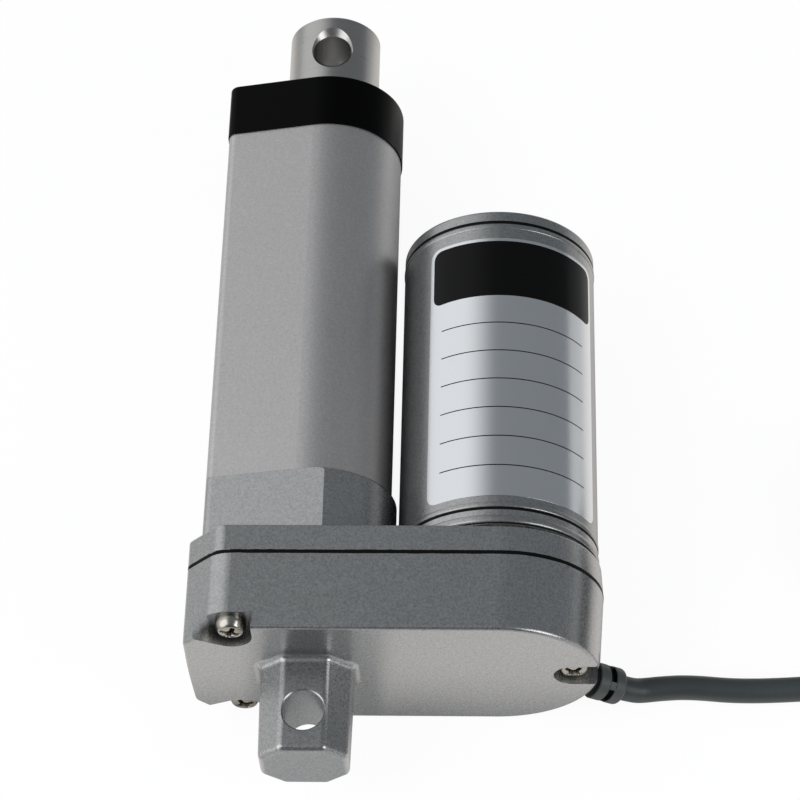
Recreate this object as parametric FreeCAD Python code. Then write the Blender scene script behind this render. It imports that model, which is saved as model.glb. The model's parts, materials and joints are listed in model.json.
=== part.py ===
import FreeCAD, Part
import math
import os

# Electric linear actuator lying on its back, in millimetres.
# The origin is the centre of the rear lug's pin hole, +Y runs along the rod,
# +X towards the motor and +Z out of the front face.

# Gearbox housing
rear_face_y = 11.3
parting_y = 27.7
gearbox_top_y = 33.6
gearbox_motor_margin = 0.3
gearbox_left_margin = 2.35
gearbox_left_bow = 0.3
gearbox_right_margin = 0.9
side_draft = 1.0
left_chamfer_x = 6.5
left_chamfer_z = 7.4
left_bow_radius = 250.0
side_corner_radius = 2.0
rear_top_corner_radius = 6.0
front_top_corner_radius = 3.0
rear_edge_radius = 0.8
top_edge_radius = 0.5
housing_wall = 2.6
rear_wall = 3.0
front_wall = 2.5
gasket_thickness = 0.5
gasket_recess = 0.15

# Rear fixing lug
lug_end_y = -8.4
lug_half_x = 8.65
lug_half_z = 8.2
lug_flat_half_x = 4.3
lug_flat_half_z = 3.9
lug_taper = 0.4
lug_end_radius = 1.3
lug_side_radius = 1.6
lug_root_radius = 1.4
pin_hole_radius = 4.1
pin_hole_chamfer = 0.25

# Housing screws and the pockets for their heads
screw_head_radius = 3.0
screw_head_height = 2.6
screw_crown_share = 0.39
screw_crown_drop = 0.06
screw_shoulder_share = 0.874
screw_shoulder_drop = 0.42
screw_rim_share = 0.55
screw_end_gap = 0.5
screw_shank_radius = 1.45
screw_hole_clearance = 0.15
screw_seat_gap = 0.02
screw_thread_depth = 4.6
pocket_wall = 1.2
left_screw_inset_x = 9.75
left_screw_inset_z = 4.0
left_pocket_radius = 4.2
left_pocket_slope_deg = 27.0
right_screw_inset = 5.1
right_pocket_radius = 3.95
screw_seat_y = 14.6
recess_width = 0.75
recess_reach = 1.75
recess_depth = 1.2

# Outer tube, collar and front cap
tube_rod_room = 3.2
tube_flat_reach = 5.9
tube_flat_slope = 0.2
tube_corner_radius = 1.8
tube_wall = 2.0
tube_bore_wall = 2.2
tube_end_room = 20.1
channel_wall = 1.6
channel_half_slot = 2.2
collar_top_y = 48.8
collar_edge_radius = 0.8
collar_proud = 1.1
motor_gap = 0.5
seat_foot = 0.4
cap_length = 12.9
cap_proud = 0.3
cap_edge_radius = 0.6
cap_spigot_length = 6.0
cap_spigot_wall = 1.5
spigot_length = 3.0
spigot_gap = 0.1

# Extension rod and its guides
rod_radius = 10.0
rod_reach = 21.0
rod_hole_inset = 8.9
rod_hole_radius = 4.1
rod_hole_chamfer = 0.45
rod_end_chamfer = 0.7
rod_bore_radius = 6.0
rod_bore_inset = 10.6
rod_running_gap = 0.05
stroke = 50.0
bush_wall = 2.0
bush_wiper_gap = 0.9
wiper_length = 3.0
wiper_lip = 0.4
wiper_groove = 0.6
wiper_lip_depth = 0.8
cap_bore_gap = 0.3

# Lead screw, nut and bearing
screw_radius = 4.0
screw_end_margin = 1.5
screw_tip_length = 3.0
screw_tip_step = 0.8
screw_journal_radius = 3.0
screw_journal_gap = 0.05
screw_shoulder_radius = 5.6
screw_washer_radius = 5.4
screw_washer_thickness = 1.2
rear_bush_radius = 5.0
rear_bush_length = 3.5
rear_bush_flange_gap = 0.3
nut_side_gap = 0.5
nut_start_y = 53.3
nut_flange_length = 10.0
nut_spigot_length = 8.0
nut_running_gap = 0.05
nut_finger_half_width = 1.8
nut_finger_length = 6.0
nut_finger_reach = 2.6
nut_pin_radius = 1.0
nut_pin_inner_gap = 0.6
nut_pin_outer_gap = 0.2
nut_finger_inset = 1.0
nut_finger_root = 2.0
bearing_bore_radius = 4.0
bearing_seat_wall = 2.2
bearing_width = 7.0
bearing_start_y = 34.8
bearing_ring_wall = 1.9
ball_radius = 1.98
ball_count = 7
ball_gap = 0.06
circlip_thickness = 1.0
circlip_bite = 0.6
circlip_width = 2.2
circlip_half_mouth = 1.5
press_gap = 0.02

# Gear train between the motor and the lead screw
pressure_angle_deg = 20.0
motor_module_share = 0.8
screw_gear_teeth = 30
idler_pinion_teeth = 12
screw_stage_shift = 0.3
idler_wheel_teeth = 30
motor_pinion_teeth = 10
motor_stage_shift = 0.4
flank_gap = 0.04
dedendum_factor = 1.25
screw_gear_start_y = 16.4
screw_gear_width = 6.6
gear_hub_radius = 7.0
gear_hub_width = 1.6
gear_web_recess = 1.2
gear_rim_thickness = 2.2
idler_wheel_width = 4.0
idler_level_gap = 0.8
idler_pinion_overhang = 0.4
idler_axle_radius = 2.0
idler_axle_gap = 0.05
idler_hub_radius = 4.0
axle_seat_depth = 1.6
motor_pinion_overhang = 0.9

# Motor
motor_radius = 20.0
motor_seat_top_y = 37.3
motor_cover_end_y = 104.4
motor_cap_end_y = 107.5
motor_cap_edge_radius = 0.6
motor_cover_wall = 1.3
motor_seal_thickness = 0.4
motor_seal_recess = 0.2
can_gap = 0.3
can_wall = 1.2
can_end_room = 12.8
can_boss_radius = 6.0
can_boss_gap = 0.1
can_boss_inset = 0.5
motor_bush_inset = 0.6
magnet_wall = 3.0
magnet_span_deg = 130.0
magnet_start = 9.0
magnet_end_room = 15.0
air_gap = 0.5
core_end_inset = 2.0
core_slots = 5
core_slot_share = 0.19
core_slot_mouth = 0.9
core_mouth_half_width = 0.7
end_turn_length = 3.4
end_turn_share = 0.44
motor_shaft_radius = 1.6
motor_bush_radius = 3.4
motor_bush_length = 4.0
commutator_share = 0.365
commutator_length = 7.0
commutator_gap = 1.0
brush_size = 3.0
brush_gap = 0.3
brush_length = 7.0
brush_cap_thickness = 8.0
brush_cap_floor = 1.0
brush_cap_skirt = 2.0
brush_cap_lead = 1.0
brush_holder_gap = 1.0
brush_guide_start = 0.2
brush_guide_end_wall = 1.5
motor_screw_radius = 1.2
motor_screw_head_radius = 2.4
motor_screw_head_height = 1.6
motor_screw_length = 4.0
motor_screw_share = 0.68

# Limit switches in the tube's side channel
board_thickness = 1.2
board_half_width = 6.4
board_margin_y = 3.0
switch_height = 2.6
switch_width = 4.2
switch_length = 10.0
switch_button_radius = 0.6
switch_finger_gap = 0.5
switch_button_height = 0.3

# Cable and gland
cable_radius = 2.5
gland_angle_deg = 32.0
gland_y = 15.9
gland_collar_radius = 3.7
gland_neck_radius = 2.95
gland_hole_radius = 3.3
gland_hole_gap = 0.1
gland_standoff = 1.2
gland_first_ring = 3.0
gland_slot_length = 1.7
gland_second_ring = 2.6
gland_ring_radius = 0.8
gland_surface_sink = 0.3
gland_body_overlap = 0.5
gland_rib_half_width = 0.9
gland_rib_overlap = 0.2
gland_inside_length = 1.2
cable_inside_length = 5.0
cable_drop_share = 0.66
coil_turn_radii = 10.4
coil_layers_wide = 2
coil_reach_radii = 40.0
cable_lie_radii = [(0.92, 0.18), (2.24, 0.36), (4.64, 0.52), (8.8, 0.12), (15.2, 0.48), (22.0, 1.32)]
coil_ridge_start_deg = 150.0
coil_ridge_span_deg = 324.0
coil_ridge_sink = 0.26
coil_corner_share = 0.8
core_radius = 0.85
core_spacing = 1.0
core_span_deg = 24.0
core_tip_radius = 0.6
core_tip_span_deg = 9.0

# Values worked out from the sizes above
tube_bore_radius = rod_radius + tube_rod_room
tube_end_y = nut_start_y + nut_flange_length + stroke + tube_end_room
cap_end_y = tube_end_y + cap_length
bush_length = cap_length - wiper_length - bush_wiper_gap
rod_end_y = cap_end_y + rod_reach
rod_hole_y = rod_end_y - rod_hole_inset
rod_bore_end_y = rod_hole_y - rod_bore_inset
tube_radius = tube_bore_radius + tube_bore_wall
tube_left_x = -tube_radius - tube_flat_reach
collar_radius = tube_radius + collar_proud
motor_x = collar_radius + motor_gap + motor_radius
screw_stage_teeth = (screw_gear_teeth + idler_pinion_teeth) / 2.0
motor_stage_teeth = (idler_wheel_teeth + motor_pinion_teeth) / 2.0
screw_gear_module = motor_x / (screw_stage_teeth + motor_module_share * motor_stage_teeth)
motor_gear_module = motor_module_share * screw_gear_module
idler_x = screw_gear_module * screw_stage_teeth
gearbox_half = motor_radius + gearbox_motor_margin
gearbox_left_x = tube_left_x - gearbox_left_margin
gearbox_right_x = motor_x + motor_radius + gearbox_right_margin
table_z = -gearbox_half
rear_housing_top_y = parting_y - gasket_thickness / 2.0
front_housing_start_y = parting_y + gasket_thickness / 2.0
cavity_start_y = rear_face_y + rear_wall
cavity_end_y = gearbox_top_y - front_wall
left_screw_x = gearbox_left_x + left_screw_inset_x
left_screw_z = gearbox_half - left_screw_inset_z
left_screws = [(left_screw_x, left_screw_z), (left_screw_x, -left_screw_z)]
right_screw = (motor_x + motor_radius - right_screw_inset, 0.0)
flat_angle = math.atan(tube_flat_slope)
tube_flat_start_z = tube_radius * math.tan((math.pi / 2.0 + flat_angle) / 2.0)
tube_left_z = tube_flat_start_z - (tube_radius - tube_left_x) * tube_flat_slope
bearing_outer_radius = tube_bore_radius - bearing_seat_wall
bearing_end_y = bearing_start_y + bearing_width
ball_circle = (bearing_bore_radius + bearing_outer_radius) / 2.0
bush_start_y = tube_end_y + press_gap
bush_radius = rod_radius + bush_wall
rear_bush_end_y = cavity_start_y + rear_bush_length / 2.0
screw_start_y = cavity_start_y - rear_bush_length / 2.0
screw_gear_end_y = screw_gear_start_y + screw_gear_width
idler_wheel_start_y = screw_gear_end_y + idler_level_gap
idler_wheel_end_y = idler_wheel_start_y + idler_wheel_width
nut_radius = tube_bore_radius - nut_side_gap
nut_flange_end_y = nut_start_y + nut_flange_length
rod_start_y = nut_flange_end_y + press_gap
screw_end_y = rod_start_y + nut_spigot_length + stroke + screw_end_margin
screw_tip_radius = screw_radius - screw_tip_step
cover_inner_radius = motor_radius - motor_cover_wall
can_radius = cover_inner_radius - can_gap
can_inner_radius = can_radius - can_wall
can_end_y = motor_cover_end_y - can_end_room
motor_screw_circle = motor_screw_share * can_radius
motor_shaft_end_y = can_end_y + brush_cap_thickness - brush_cap_floor
magnet_radius = can_inner_radius - press_gap
magnet_inner_radius = magnet_radius - magnet_wall
magnet_start_y = gearbox_top_y + magnet_start
magnet_length = can_end_y - magnet_end_room - magnet_start_y
core_radius_outer = magnet_inner_radius - air_gap
core_start_y = magnet_start_y + core_end_inset
core_end_y = magnet_start_y + magnet_length - core_end_inset
core_slot_radius = core_slot_share * core_radius_outer
end_turn_wall = end_turn_share * core_radius_outer
commutator_radius = commutator_share * core_radius_outer
commutator_start_y = core_end_y + end_turn_length + commutator_gap
channel_right_x = -tube_bore_radius - channel_wall
channel_left_x = tube_left_x + tube_wall
board_x = channel_left_x + press_gap
switch_x = board_x + board_thickness + press_gap
gland_angle = math.radians(gland_angle_deg)
gland_inner_reach = gearbox_half - housing_wall - gland_inside_length
cable_inner_reach = gland_inner_reach - cable_inside_length
cable_z = table_z + cable_radius
coil_inner_turn = coil_turn_radii * cable_radius
coil_centre_x = motor_x + coil_reach_radii * cable_radius
coil_start_y = gland_y + cable_lie_radii[-1][1] * cable_radius
coil_outer_turn = coil_inner_turn + 2.0 * cable_radius * (coil_layers_wide - 1)
coil_middle_turn = (coil_inner_turn + coil_outer_turn) / 2.0
coil_ridge_end_deg = coil_ridge_start_deg + coil_ridge_span_deg


def vec(x, y, z):
    return FreeCAD.Vector(x, y, z)


# Solids with their axis along Y

def bar_y(x, z, radius, y0, y1):
    return Part.makeCylinder(radius, y1 - y0, vec(x, y0, z), vec(0, 1, 0))


def ring_y(x, z, outer, inner, y0, y1):
    return bar_y(x, z, outer, y0, y1).cut(bar_y(x, z, inner, y0 - 1.0, y1 + 1.0))


def block(x0, x1, y0, y1, z0, z1):
    return Part.makeBox(x1 - x0, y1 - y0, z1 - z0, vec(x0, y0, z0))


def revolved_y(x, z, points):
    """Turn a closed profile of (radius, y) points about the Y axis through (x, z)."""
    corners = [vec(x + radius, y, z) for radius, y in points]
    face = Part.Face(Part.makePolygon(corners + corners[:1]))
    return face.revolve(vec(x, 0, z), vec(0, 1, 0), 360)


def revolved_edges(edges, centre, axis, degrees=360.0):
    return Part.Face(Part.Wire(edges)).revolve(centre, axis, degrees)


# Outlines across the Y axis: corners are (x, z, radius), in order round the outline

def inset_corners(corners, inset):
    """Move every side of an outline inwards and find its corners again."""
    count = len(corners)
    area = sum(corners[i - 1][0] * corners[i][1] - corners[i][0] * corners[i - 1][1] for i in range(count))
    turn = 1.0 if area > 0 else -1.0
    sides = []
    for i in range(count):
        x0, z0, _ = corners[i - 1]
        x1, z1, _ = corners[i]
        length = math.hypot(x1 - x0, z1 - z0)
        dx, dz = (x1 - x0) / length, (z1 - z0) / length
        sides.append((x0 - turn * dz * inset, z0 + turn * dx * inset, dx, dz))
    result = []
    for i in range(count):
        ax, az, adx, adz = sides[i]
        bx, bz, bdx, bdz = sides[(i + 1) % count]
        across = adx * bdz - adz * bdx
        along = ((bx - ax) * bdz - (bz - az) * bdx) / across
        radius = corners[i][2]
        if radius > 0:
            radius = max(radius - inset, 0.3)
        result.append((ax + adx * along, az + adz * along, radius))
    return result


def outline_wire(corners, y):
    """Join an outline's corners with straight sides and tangent arcs."""
    arcs = []
    for i, (x, z, radius) in enumerate(corners):
        point = vec(x, y, z)
        before = vec(corners[i - 1][0], y, corners[i - 1][1])
        after = vec(corners[(i + 1) % len(corners)][0], y, corners[(i + 1) % len(corners)][1])
        into = (point - before).normalize()
        out = (after - point).normalize()
        half_turn = into.getAngle(out) / 2.0
        reach = radius * math.tan(half_turn)
        middle = point + (out - into).normalize() * (radius / math.cos(half_turn) - radius)
        arcs.append((point - into * reach, middle, point + out * reach, radius))
    edges = []
    for i, (start, middle, end, radius) in enumerate(arcs):
        last = arcs[i - 1][2]
        if last.distanceToPoint(start) > 1e-6:
            edges.append(Part.LineSegment(last, start).toShape())
        if radius > 0:
            edges.append(Part.Arc(start, middle, end).toShape())
    return Part.Wire(edges)


def prism(corners, y0, y1):
    return Part.Face(outline_wire(corners, y0)).extrude(vec(0, y1 - y0, 0))


def gearbox_corners(top_radius, draft):
    right = gearbox_right_x - draft
    shoulder = gearbox_left_x + gearbox_left_bow
    side_z = gearbox_half - left_chamfer_z
    return [
        (right, gearbox_half, gearbox_half),
        (right, -gearbox_half, gearbox_half),
        (shoulder + left_chamfer_x, -gearbox_half, top_radius),
        (shoulder, -side_z, side_corner_radius),
        (gearbox_left_x, 0.0, left_bow_radius),
        (shoulder, side_z, side_corner_radius),
        (shoulder + left_chamfer_x, gearbox_half, top_radius),
    ]


def tube_corners(inset=0.0):
    corners = [
        (tube_radius, tube_flat_start_z, tube_radius),
        (tube_radius, -tube_flat_start_z, tube_radius),
        (tube_left_x, -tube_left_z, tube_corner_radius),
        (tube_left_x, tube_left_z, tube_corner_radius),
    ]
    return inset_corners(corners, inset)


def edges_at_y(shape, y, inside=None):
    """Edges that lie in the plane at y, and inside a box when one is given."""
    found = []
    for edge in shape.Edges:
        box = edge.BoundBox
        if abs(box.YMin - y) > 1e-4 or abs(box.YMax - y) > 1e-4:
            continue
        if inside is None or inside.isInside(edge.CenterOfMass):
            found.append(edge)
    return found


# Screws

def cross_recess(x, z, top_y):
    depth = recess_depth
    bar_a = block(x - recess_reach, x + recess_reach, top_y - 1.0, top_y + depth, z - recess_width / 2.0,
                  z + recess_width / 2.0)
    bar_b = block(x - recess_width / 2.0, x + recess_width / 2.0, top_y - 1.0, top_y + depth,
                  z - recess_reach, z + recess_reach)
    return bar_a.fuse(bar_b).removeSplitter()


def pan_screw(x, z, seat_y, end_y):
    """A pan head screw driven from the rear, its head seated at seat_y."""
    top_y = seat_y - screw_head_height
    start = vec(x, top_y, z)
    crown = vec(x + screw_head_radius * screw_crown_share, top_y + screw_crown_drop, z)
    shoulder = vec(x + screw_head_radius * screw_shoulder_share, top_y + screw_shoulder_drop, z)
    rim = vec(x + screw_head_radius, seat_y - screw_head_height * screw_rim_share, z)
    edge = vec(x + screw_head_radius, seat_y, z)
    seat = vec(x, seat_y, z)
    edges = [
        Part.LineSegment(start, crown).toShape(),
        Part.Arc(crown, shoulder, rim).toShape(),
        Part.LineSegment(rim, edge).toShape(),
        Part.LineSegment(edge, seat).toShape(),
        Part.LineSegment(seat, start).toShape(),
    ]
    head = revolved_edges(edges, start, vec(0, 1, 0))
    shank = bar_y(x, z, screw_shank_radius, seat_y, end_y)
    return head.fuse(shank).cut(cross_recess(x, z, top_y)).removeSplitter()


# Gearbox housing

def housing_cavity(y0, y1):
    """The room for the gears, with the corners that hold the screws left standing."""
    room = prism(inset_corners(gearbox_corners(rear_top_corner_radius, side_draft), housing_wall), y0, y1)
    for pocket in screw_pockets(y0 - 1.0, y1 + 1.0, pocket_wall):
        room = room.cut(pocket)
    return room


def screw_holes(y0, y1, radius):
    holes = [bar_y(x, z, radius, y0, y1) for x, z in left_screws + [right_screw]]
    return holes[0].multiFuse(holes[1:])


def left_pocket(side, radius, y0, y1):
    """Recess round a left screw, open to the side and to the front or back face."""
    slope = math.radians(left_pocket_slope_deg)
    x, z = left_screw_x, left_screw_z
    foot = (x - radius * math.sin(slope), z - radius * math.cos(slope))
    run = (x - gearbox_left_x) * 1.5
    far = (foot[0] - run * math.cos(slope), foot[1] + run * math.sin(slope))
    outside = gearbox_half * 1.5
    corners = [foot, far, (far[0], outside), (x + radius, outside), (x + radius, z), (x, z)]
    points = [vec(px, y0, side * pz) for px, pz in corners]
    slot = Part.Face(Part.makePolygon(points + points[:1])).extrude(vec(0, y1 - y0, 0))
    return slot.fuse(bar_y(x, side * z, radius, y0, y1))


def right_pocket(radius, y0, y1):
    x, z = right_screw
    slot = block(x, gearbox_right_x * 1.5, y0, y1, z - radius, z + radius)
    return slot.fuse(bar_y(x, z, radius, y0, y1))


def screw_pockets(y0, y1, wall=0.0):
    """The three recesses for the screw heads, or the metal round them when given a wall."""
    left = [left_pocket(side, left_pocket_radius + wall, y0, y1) for side in (-1, 1)]
    return left + [right_pocket(right_pocket_radius + wall, y0, y1)]


def lug_corners(half_x):
    corner = lug_side_radius
    return [
        (lug_flat_half_x, lug_half_z, corner),
        (half_x, lug_flat_half_z, corner),
        (half_x, -lug_flat_half_z, corner),
        (lug_flat_half_x, -lug_half_z, corner),
        (-lug_flat_half_x, -lug_half_z, corner),
        (-half_x, -lug_flat_half_z, corner),
        (-half_x, lug_flat_half_z, corner),
        (-lug_flat_half_x, lug_half_z, corner),
    ]


def rear_lug():
    low = outline_wire(lug_corners(lug_half_x), lug_end_y)
    high = outline_wire(lug_corners(lug_half_x + lug_taper), rear_face_y + 1.0)
    lug = Part.makeLoft([low, high], True, True)
    return lug.makeFillet(lug_end_radius, edges_at_y(lug, lug_end_y))


def gland_point(reach):
    """A point on the gland's axis at a distance from the motor's axis."""
    return vec(motor_x + reach * math.cos(gland_angle), gland_y, -reach * math.sin(gland_angle))


def gland_axis():
    return vec(math.cos(gland_angle), 0, -math.sin(gland_angle))


def gland_bar(radius, start, end):
    return Part.makeCylinder(radius, end - start, gland_point(start), gland_axis())


def pin_hole(y, radius, half_length, chamfer):
    hole = Part.makeCylinder(radius, 2.0 * half_length + 2.0, vec(0, y, -half_length - 1.0))
    wide = radius + chamfer
    for side in (-1, 1):
        start = vec(0, y, side * (half_length - chamfer))
        mouth = Part.makeCone(radius, wide, chamfer, start, vec(0, 0, side))
        hole = hole.fuse(mouth)
    return hole


def rear_housing():
    low = outline_wire(gearbox_corners(rear_top_corner_radius, side_draft), rear_face_y)
    high = outline_wire(gearbox_corners(rear_top_corner_radius, 0.0), rear_housing_top_y)
    body = Part.makeLoft([low, high], True, True)
    body = body.makeFillet(rear_edge_radius, edges_at_y(body, rear_face_y))
    body = body.fuse(rear_lug())
    reach_x = lug_half_x + lug_taper + 0.5
    reach_z = lug_half_z + 0.5
    near_lug = FreeCAD.BoundBox(-reach_x, rear_face_y - 1, -reach_z, reach_x, rear_face_y + 1, reach_z)
    body = body.makeFillet(lug_root_radius, edges_at_y(body, rear_face_y, near_lug))
    body = body.cut(housing_cavity(cavity_start_y, rear_housing_top_y + 1.0))
    body = body.fuse(bar_y(0, 0, rear_bush_radius + housing_wall, rear_face_y + 0.5, rear_bush_end_y))
    body = body.fuse(bar_y(idler_x, 0, idler_axle_radius + housing_wall, rear_face_y + 0.5,
                           cavity_start_y + axle_seat_depth))
    body = body.cut(bar_y(0, 0, rear_bush_radius + press_gap, screw_start_y, rear_bush_end_y + 1.0))
    body = body.cut(bar_y(idler_x, 0, idler_axle_radius + press_gap, cavity_start_y - axle_seat_depth / 2.0,
                          cavity_start_y + axle_seat_depth + 1.0))
    pockets = screw_pockets(rear_face_y - 1.0, screw_seat_y)
    body = body.cut(pockets[0]).cut(pockets[1]).cut(pockets[2])
    body = body.cut(screw_holes(rear_face_y, rear_housing_top_y + 1.0,
                                screw_shank_radius + screw_hole_clearance))
    body = body.cut(gland_bar(gland_hole_radius, cable_inner_reach - 1.0, gearbox_half + 5.0))
    body = body.cut(pin_hole(0.0, pin_hole_radius, lug_half_z, pin_hole_chamfer))
    return body.removeSplitter()


def housing_gasket():
    outline = inset_corners(gearbox_corners(rear_top_corner_radius, 0.0), gasket_recess)
    plate = prism(outline, rear_housing_top_y, front_housing_start_y)
    plate = plate.cut(housing_cavity(rear_housing_top_y - 1.0, front_housing_start_y + 1.0))
    return plate.cut(screw_holes(rear_housing_top_y - 1.0, front_housing_start_y + 1.0,
                                 screw_shank_radius + screw_hole_clearance))


def collar():
    """Round on the motor's side and flush with the tube's flats on the other."""
    reach_x = collar_radius + 4.0
    rise = (reach_x - tube_radius) * tube_flat_slope
    wedge = prism([
        (reach_x, tube_flat_start_z + rise, 0.0),
        (reach_x, -tube_flat_start_z - rise, 0.0),
        (tube_left_x, -tube_left_z, tube_corner_radius),
        (tube_left_x, tube_left_z, tube_corner_radius),
    ], gearbox_top_y - 1.0, collar_top_y)
    round_side = bar_y(0, 0, collar_radius, gearbox_top_y - 1.0, collar_top_y)
    rim = edges_at_y(round_side, collar_top_y)
    round_side = round_side.makeFillet(collar_edge_radius, rim)
    flat_side = block(tube_left_x - 1.0, 0.0, gearbox_top_y - 1.0, collar_top_y, -tube_flat_start_z,
                      tube_flat_start_z)
    return wedge.common(round_side.fuse(flat_side))


def front_housing():
    low = outline_wire(gearbox_corners(front_top_corner_radius, 0.0), front_housing_start_y)
    high = outline_wire(gearbox_corners(front_top_corner_radius, side_draft / 3.0), gearbox_top_y)
    body = Part.makeLoft([low, high], True, True)
    body = body.makeFillet(top_edge_radius, edges_at_y(body, gearbox_top_y))
    body = body.fuse(collar())
    body = body.fuse(bar_y(motor_x, 0, motor_radius, gearbox_top_y - 1.0, motor_seat_top_y))
    body = body.fuse(Part.makeCone(motor_radius + seat_foot, motor_radius, seat_foot,
                                   vec(motor_x, gearbox_top_y, 0), vec(0, 1, 0)))
    body = body.fuse(bar_y(0, 0, tube_bore_radius - spigot_gap, collar_top_y - 1.0,
                           collar_top_y + spigot_length))
    body = body.cut(housing_cavity(front_housing_start_y - 1.0, cavity_end_y))
    body = body.fuse(bar_y(idler_x, 0, idler_axle_radius + housing_wall, cavity_end_y - axle_seat_depth / 2.0,
                           gearbox_top_y - 0.5))
    bearing_seat = bearing_outer_radius + press_gap
    body = body.cut(bar_y(0, 0, bearing_seat, bearing_start_y, collar_top_y + spigot_length + 1.0))
    body = body.cut(bar_y(0, 0, bearing_seat + circlip_bite, bearing_end_y + press_gap,
                          bearing_end_y + circlip_thickness + 2.0 * press_gap))
    body = body.cut(bar_y(0, 0, bearing_outer_radius - bearing_ring_wall, cavity_end_y - 2.0,
                          bearing_start_y + 1.0))
    body = body.cut(bar_y(idler_x, 0, idler_axle_radius + press_gap, cavity_end_y - axle_seat_depth,
                          cavity_end_y + axle_seat_depth / 2.0))
    body = body.cut(bar_y(motor_x, 0, can_radius + can_boss_gap, gearbox_top_y, motor_seat_top_y + 1.0))
    seat_radius = can_boss_radius + can_boss_gap
    body = body.cut(bar_y(motor_x, 0, seat_radius, cavity_end_y - 1.0, gearbox_top_y + 1.0))
    for z in (-motor_screw_circle, motor_screw_circle):
        body = body.cut(bar_y(motor_x, z, motor_screw_radius + screw_hole_clearance, cavity_end_y - 1.0,
                              gearbox_top_y + 1.0))
    body = body.cut(screw_holes(front_housing_start_y - 1.0, front_housing_start_y + screw_thread_depth,
                                screw_shank_radius + press_gap))
    return body.removeSplitter()


def housing_screws():
    end_y = front_housing_start_y + screw_thread_depth - screw_end_gap
    seat_y = screw_seat_y - screw_seat_gap
    return Part.makeCompound([pan_screw(x, z, seat_y, end_y) for x, z in left_screws + [right_screw]])


# Outer tube and front cap

def tube_room(y0, y1, gap=0.0):
    """Bore for the nut, side channel for the switches and the slot between them."""
    bore = bar_y(0, 0, tube_bore_radius - gap, y0, y1)
    channel = prism(tube_corners(tube_wall + gap), y0, y1)
    channel = channel.common(block(tube_left_x, channel_right_x - gap, y0, y1, -tube_radius, tube_radius))
    slot = block(channel_right_x - 1.0, 0.0, y0, y1, -channel_half_slot + gap, channel_half_slot - gap)
    return bore.multiFuse([channel, slot]).removeSplitter()


def outer_tube():
    tube = prism(tube_corners(), collar_top_y + press_gap, tube_end_y)
    return tube.cut(tube_room(collar_top_y - 1.0, tube_end_y + 1.0))


def front_cap():
    cap = prism(tube_corners(-cap_proud), tube_end_y + press_gap, cap_end_y)
    cap = cap.makeFillet(cap_edge_radius, edges_at_y(cap, cap_end_y))
    spigot = ring_y(0, 0, tube_bore_radius - spigot_gap, tube_bore_radius - spigot_gap - cap_spigot_wall,
                    tube_end_y - cap_spigot_length, tube_end_y + 1.0)
    cap = cap.cut(bar_y(0, 0, rod_radius + cap_bore_gap, tube_end_y - 1.0, cap_end_y + 1.0))
    cap = cap.fuse(spigot)
    bush_seat_end = bush_start_y + bush_length + press_gap
    cap = cap.cut(bar_y(0, 0, bush_radius + press_gap, tube_end_y - 1.0, bush_seat_end))
    cap = cap.cut(bar_y(0, 0, bush_radius + press_gap, cap_end_y - wiper_length, cap_end_y + 1.0))
    cap = cap.cut(bar_y(0, 0, rod_radius + cap_bore_gap, tube_end_y - 1.0, cap_end_y + 1.0))
    return cap.removeSplitter()


def rod_guide_bush():
    return ring_y(0, 0, bush_radius, rod_radius + rod_running_gap, bush_start_y, bush_start_y + bush_length)


def rod_wiper():
    inner = rod_radius + rod_running_gap
    start = cap_end_y - wiper_length + press_gap
    return revolved_y(0, 0, [
        (inner + wiper_groove, start),
        (bush_radius, start),
        (bush_radius, cap_end_y),
        (bush_radius - wiper_groove, cap_end_y + wiper_lip),
        (inner, cap_end_y + wiper_lip),
        (inner, cap_end_y - wiper_lip_depth),
    ])


# Extension rod with its nut

def extension_rod():
    rod = bar_y(0, 0, rod_radius, rod_start_y, rod_end_y)
    rod = rod.makeChamfer(rod_end_chamfer, edges_at_y(rod, rod_end_y))
    rod = rod.cut(bar_y(0, 0, rod_bore_radius, rod_start_y - 1.0, rod_bore_end_y))
    hole = Part.makeCylinder(rod_hole_radius, 2.0 * rod_radius + 2.0, vec(0, rod_hole_y, -rod_radius - 1.0))
    rod = rod.cut(hole)
    near_hole = FreeCAD.BoundBox(-rod_radius, rod_hole_y - rod_hole_radius - 0.1, -rod_radius - 1.0,
                                 rod_radius, rod_hole_y + rod_hole_radius + 0.1, rod_radius + 1.0)
    inside = [edge for edge in rod.Edges if near_hole.isInside(edge.BoundBox)]
    rims = [edge for edge in inside if abs(edge.CenterOfMass.z) > rod_radius / 2.0]
    rod = rod.makeChamfer(rod_hole_chamfer, rims)
    for side in (-1, 1):
        rod = rod.cut(nut_pin_bar(side, nut_pin_radius + press_gap))
    return rod


def nut_pin_bar(side, radius):
    y = rod_start_y + nut_spigot_length / 2.0
    inner = screw_radius + nut_pin_inner_gap
    length = rod_radius - nut_pin_outer_gap - inner
    return Part.makeCylinder(radius, length, vec(0, y, side * inner), vec(0, 0, side))


def drive_nut():
    nut = bar_y(0, 0, nut_radius, nut_start_y, nut_flange_end_y)
    spigot = bar_y(0, 0, rod_bore_radius - press_gap, nut_flange_end_y, rod_start_y + nut_spigot_length)
    finger_x = channel_right_x - nut_finger_reach
    finger_y = nut_start_y + nut_finger_inset
    finger = block(finger_x, -nut_radius + nut_finger_root, finger_y, finger_y + nut_finger_length,
                   -nut_finger_half_width, nut_finger_half_width)
    nut = nut.multiFuse([spigot, finger])
    nut = nut.cut(bar_y(0, 0, screw_radius + nut_running_gap, nut_start_y - 1.0, rod_bore_end_y))
    for side in (-1, 1):
        nut = nut.cut(nut_pin_bar(side, nut_pin_radius + press_gap))
    return nut.removeSplitter()


def nut_pins():
    return Part.makeCompound([nut_pin_bar(side, nut_pin_radius) for side in (-1, 1)])


# Lead screw and its bearing

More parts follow.
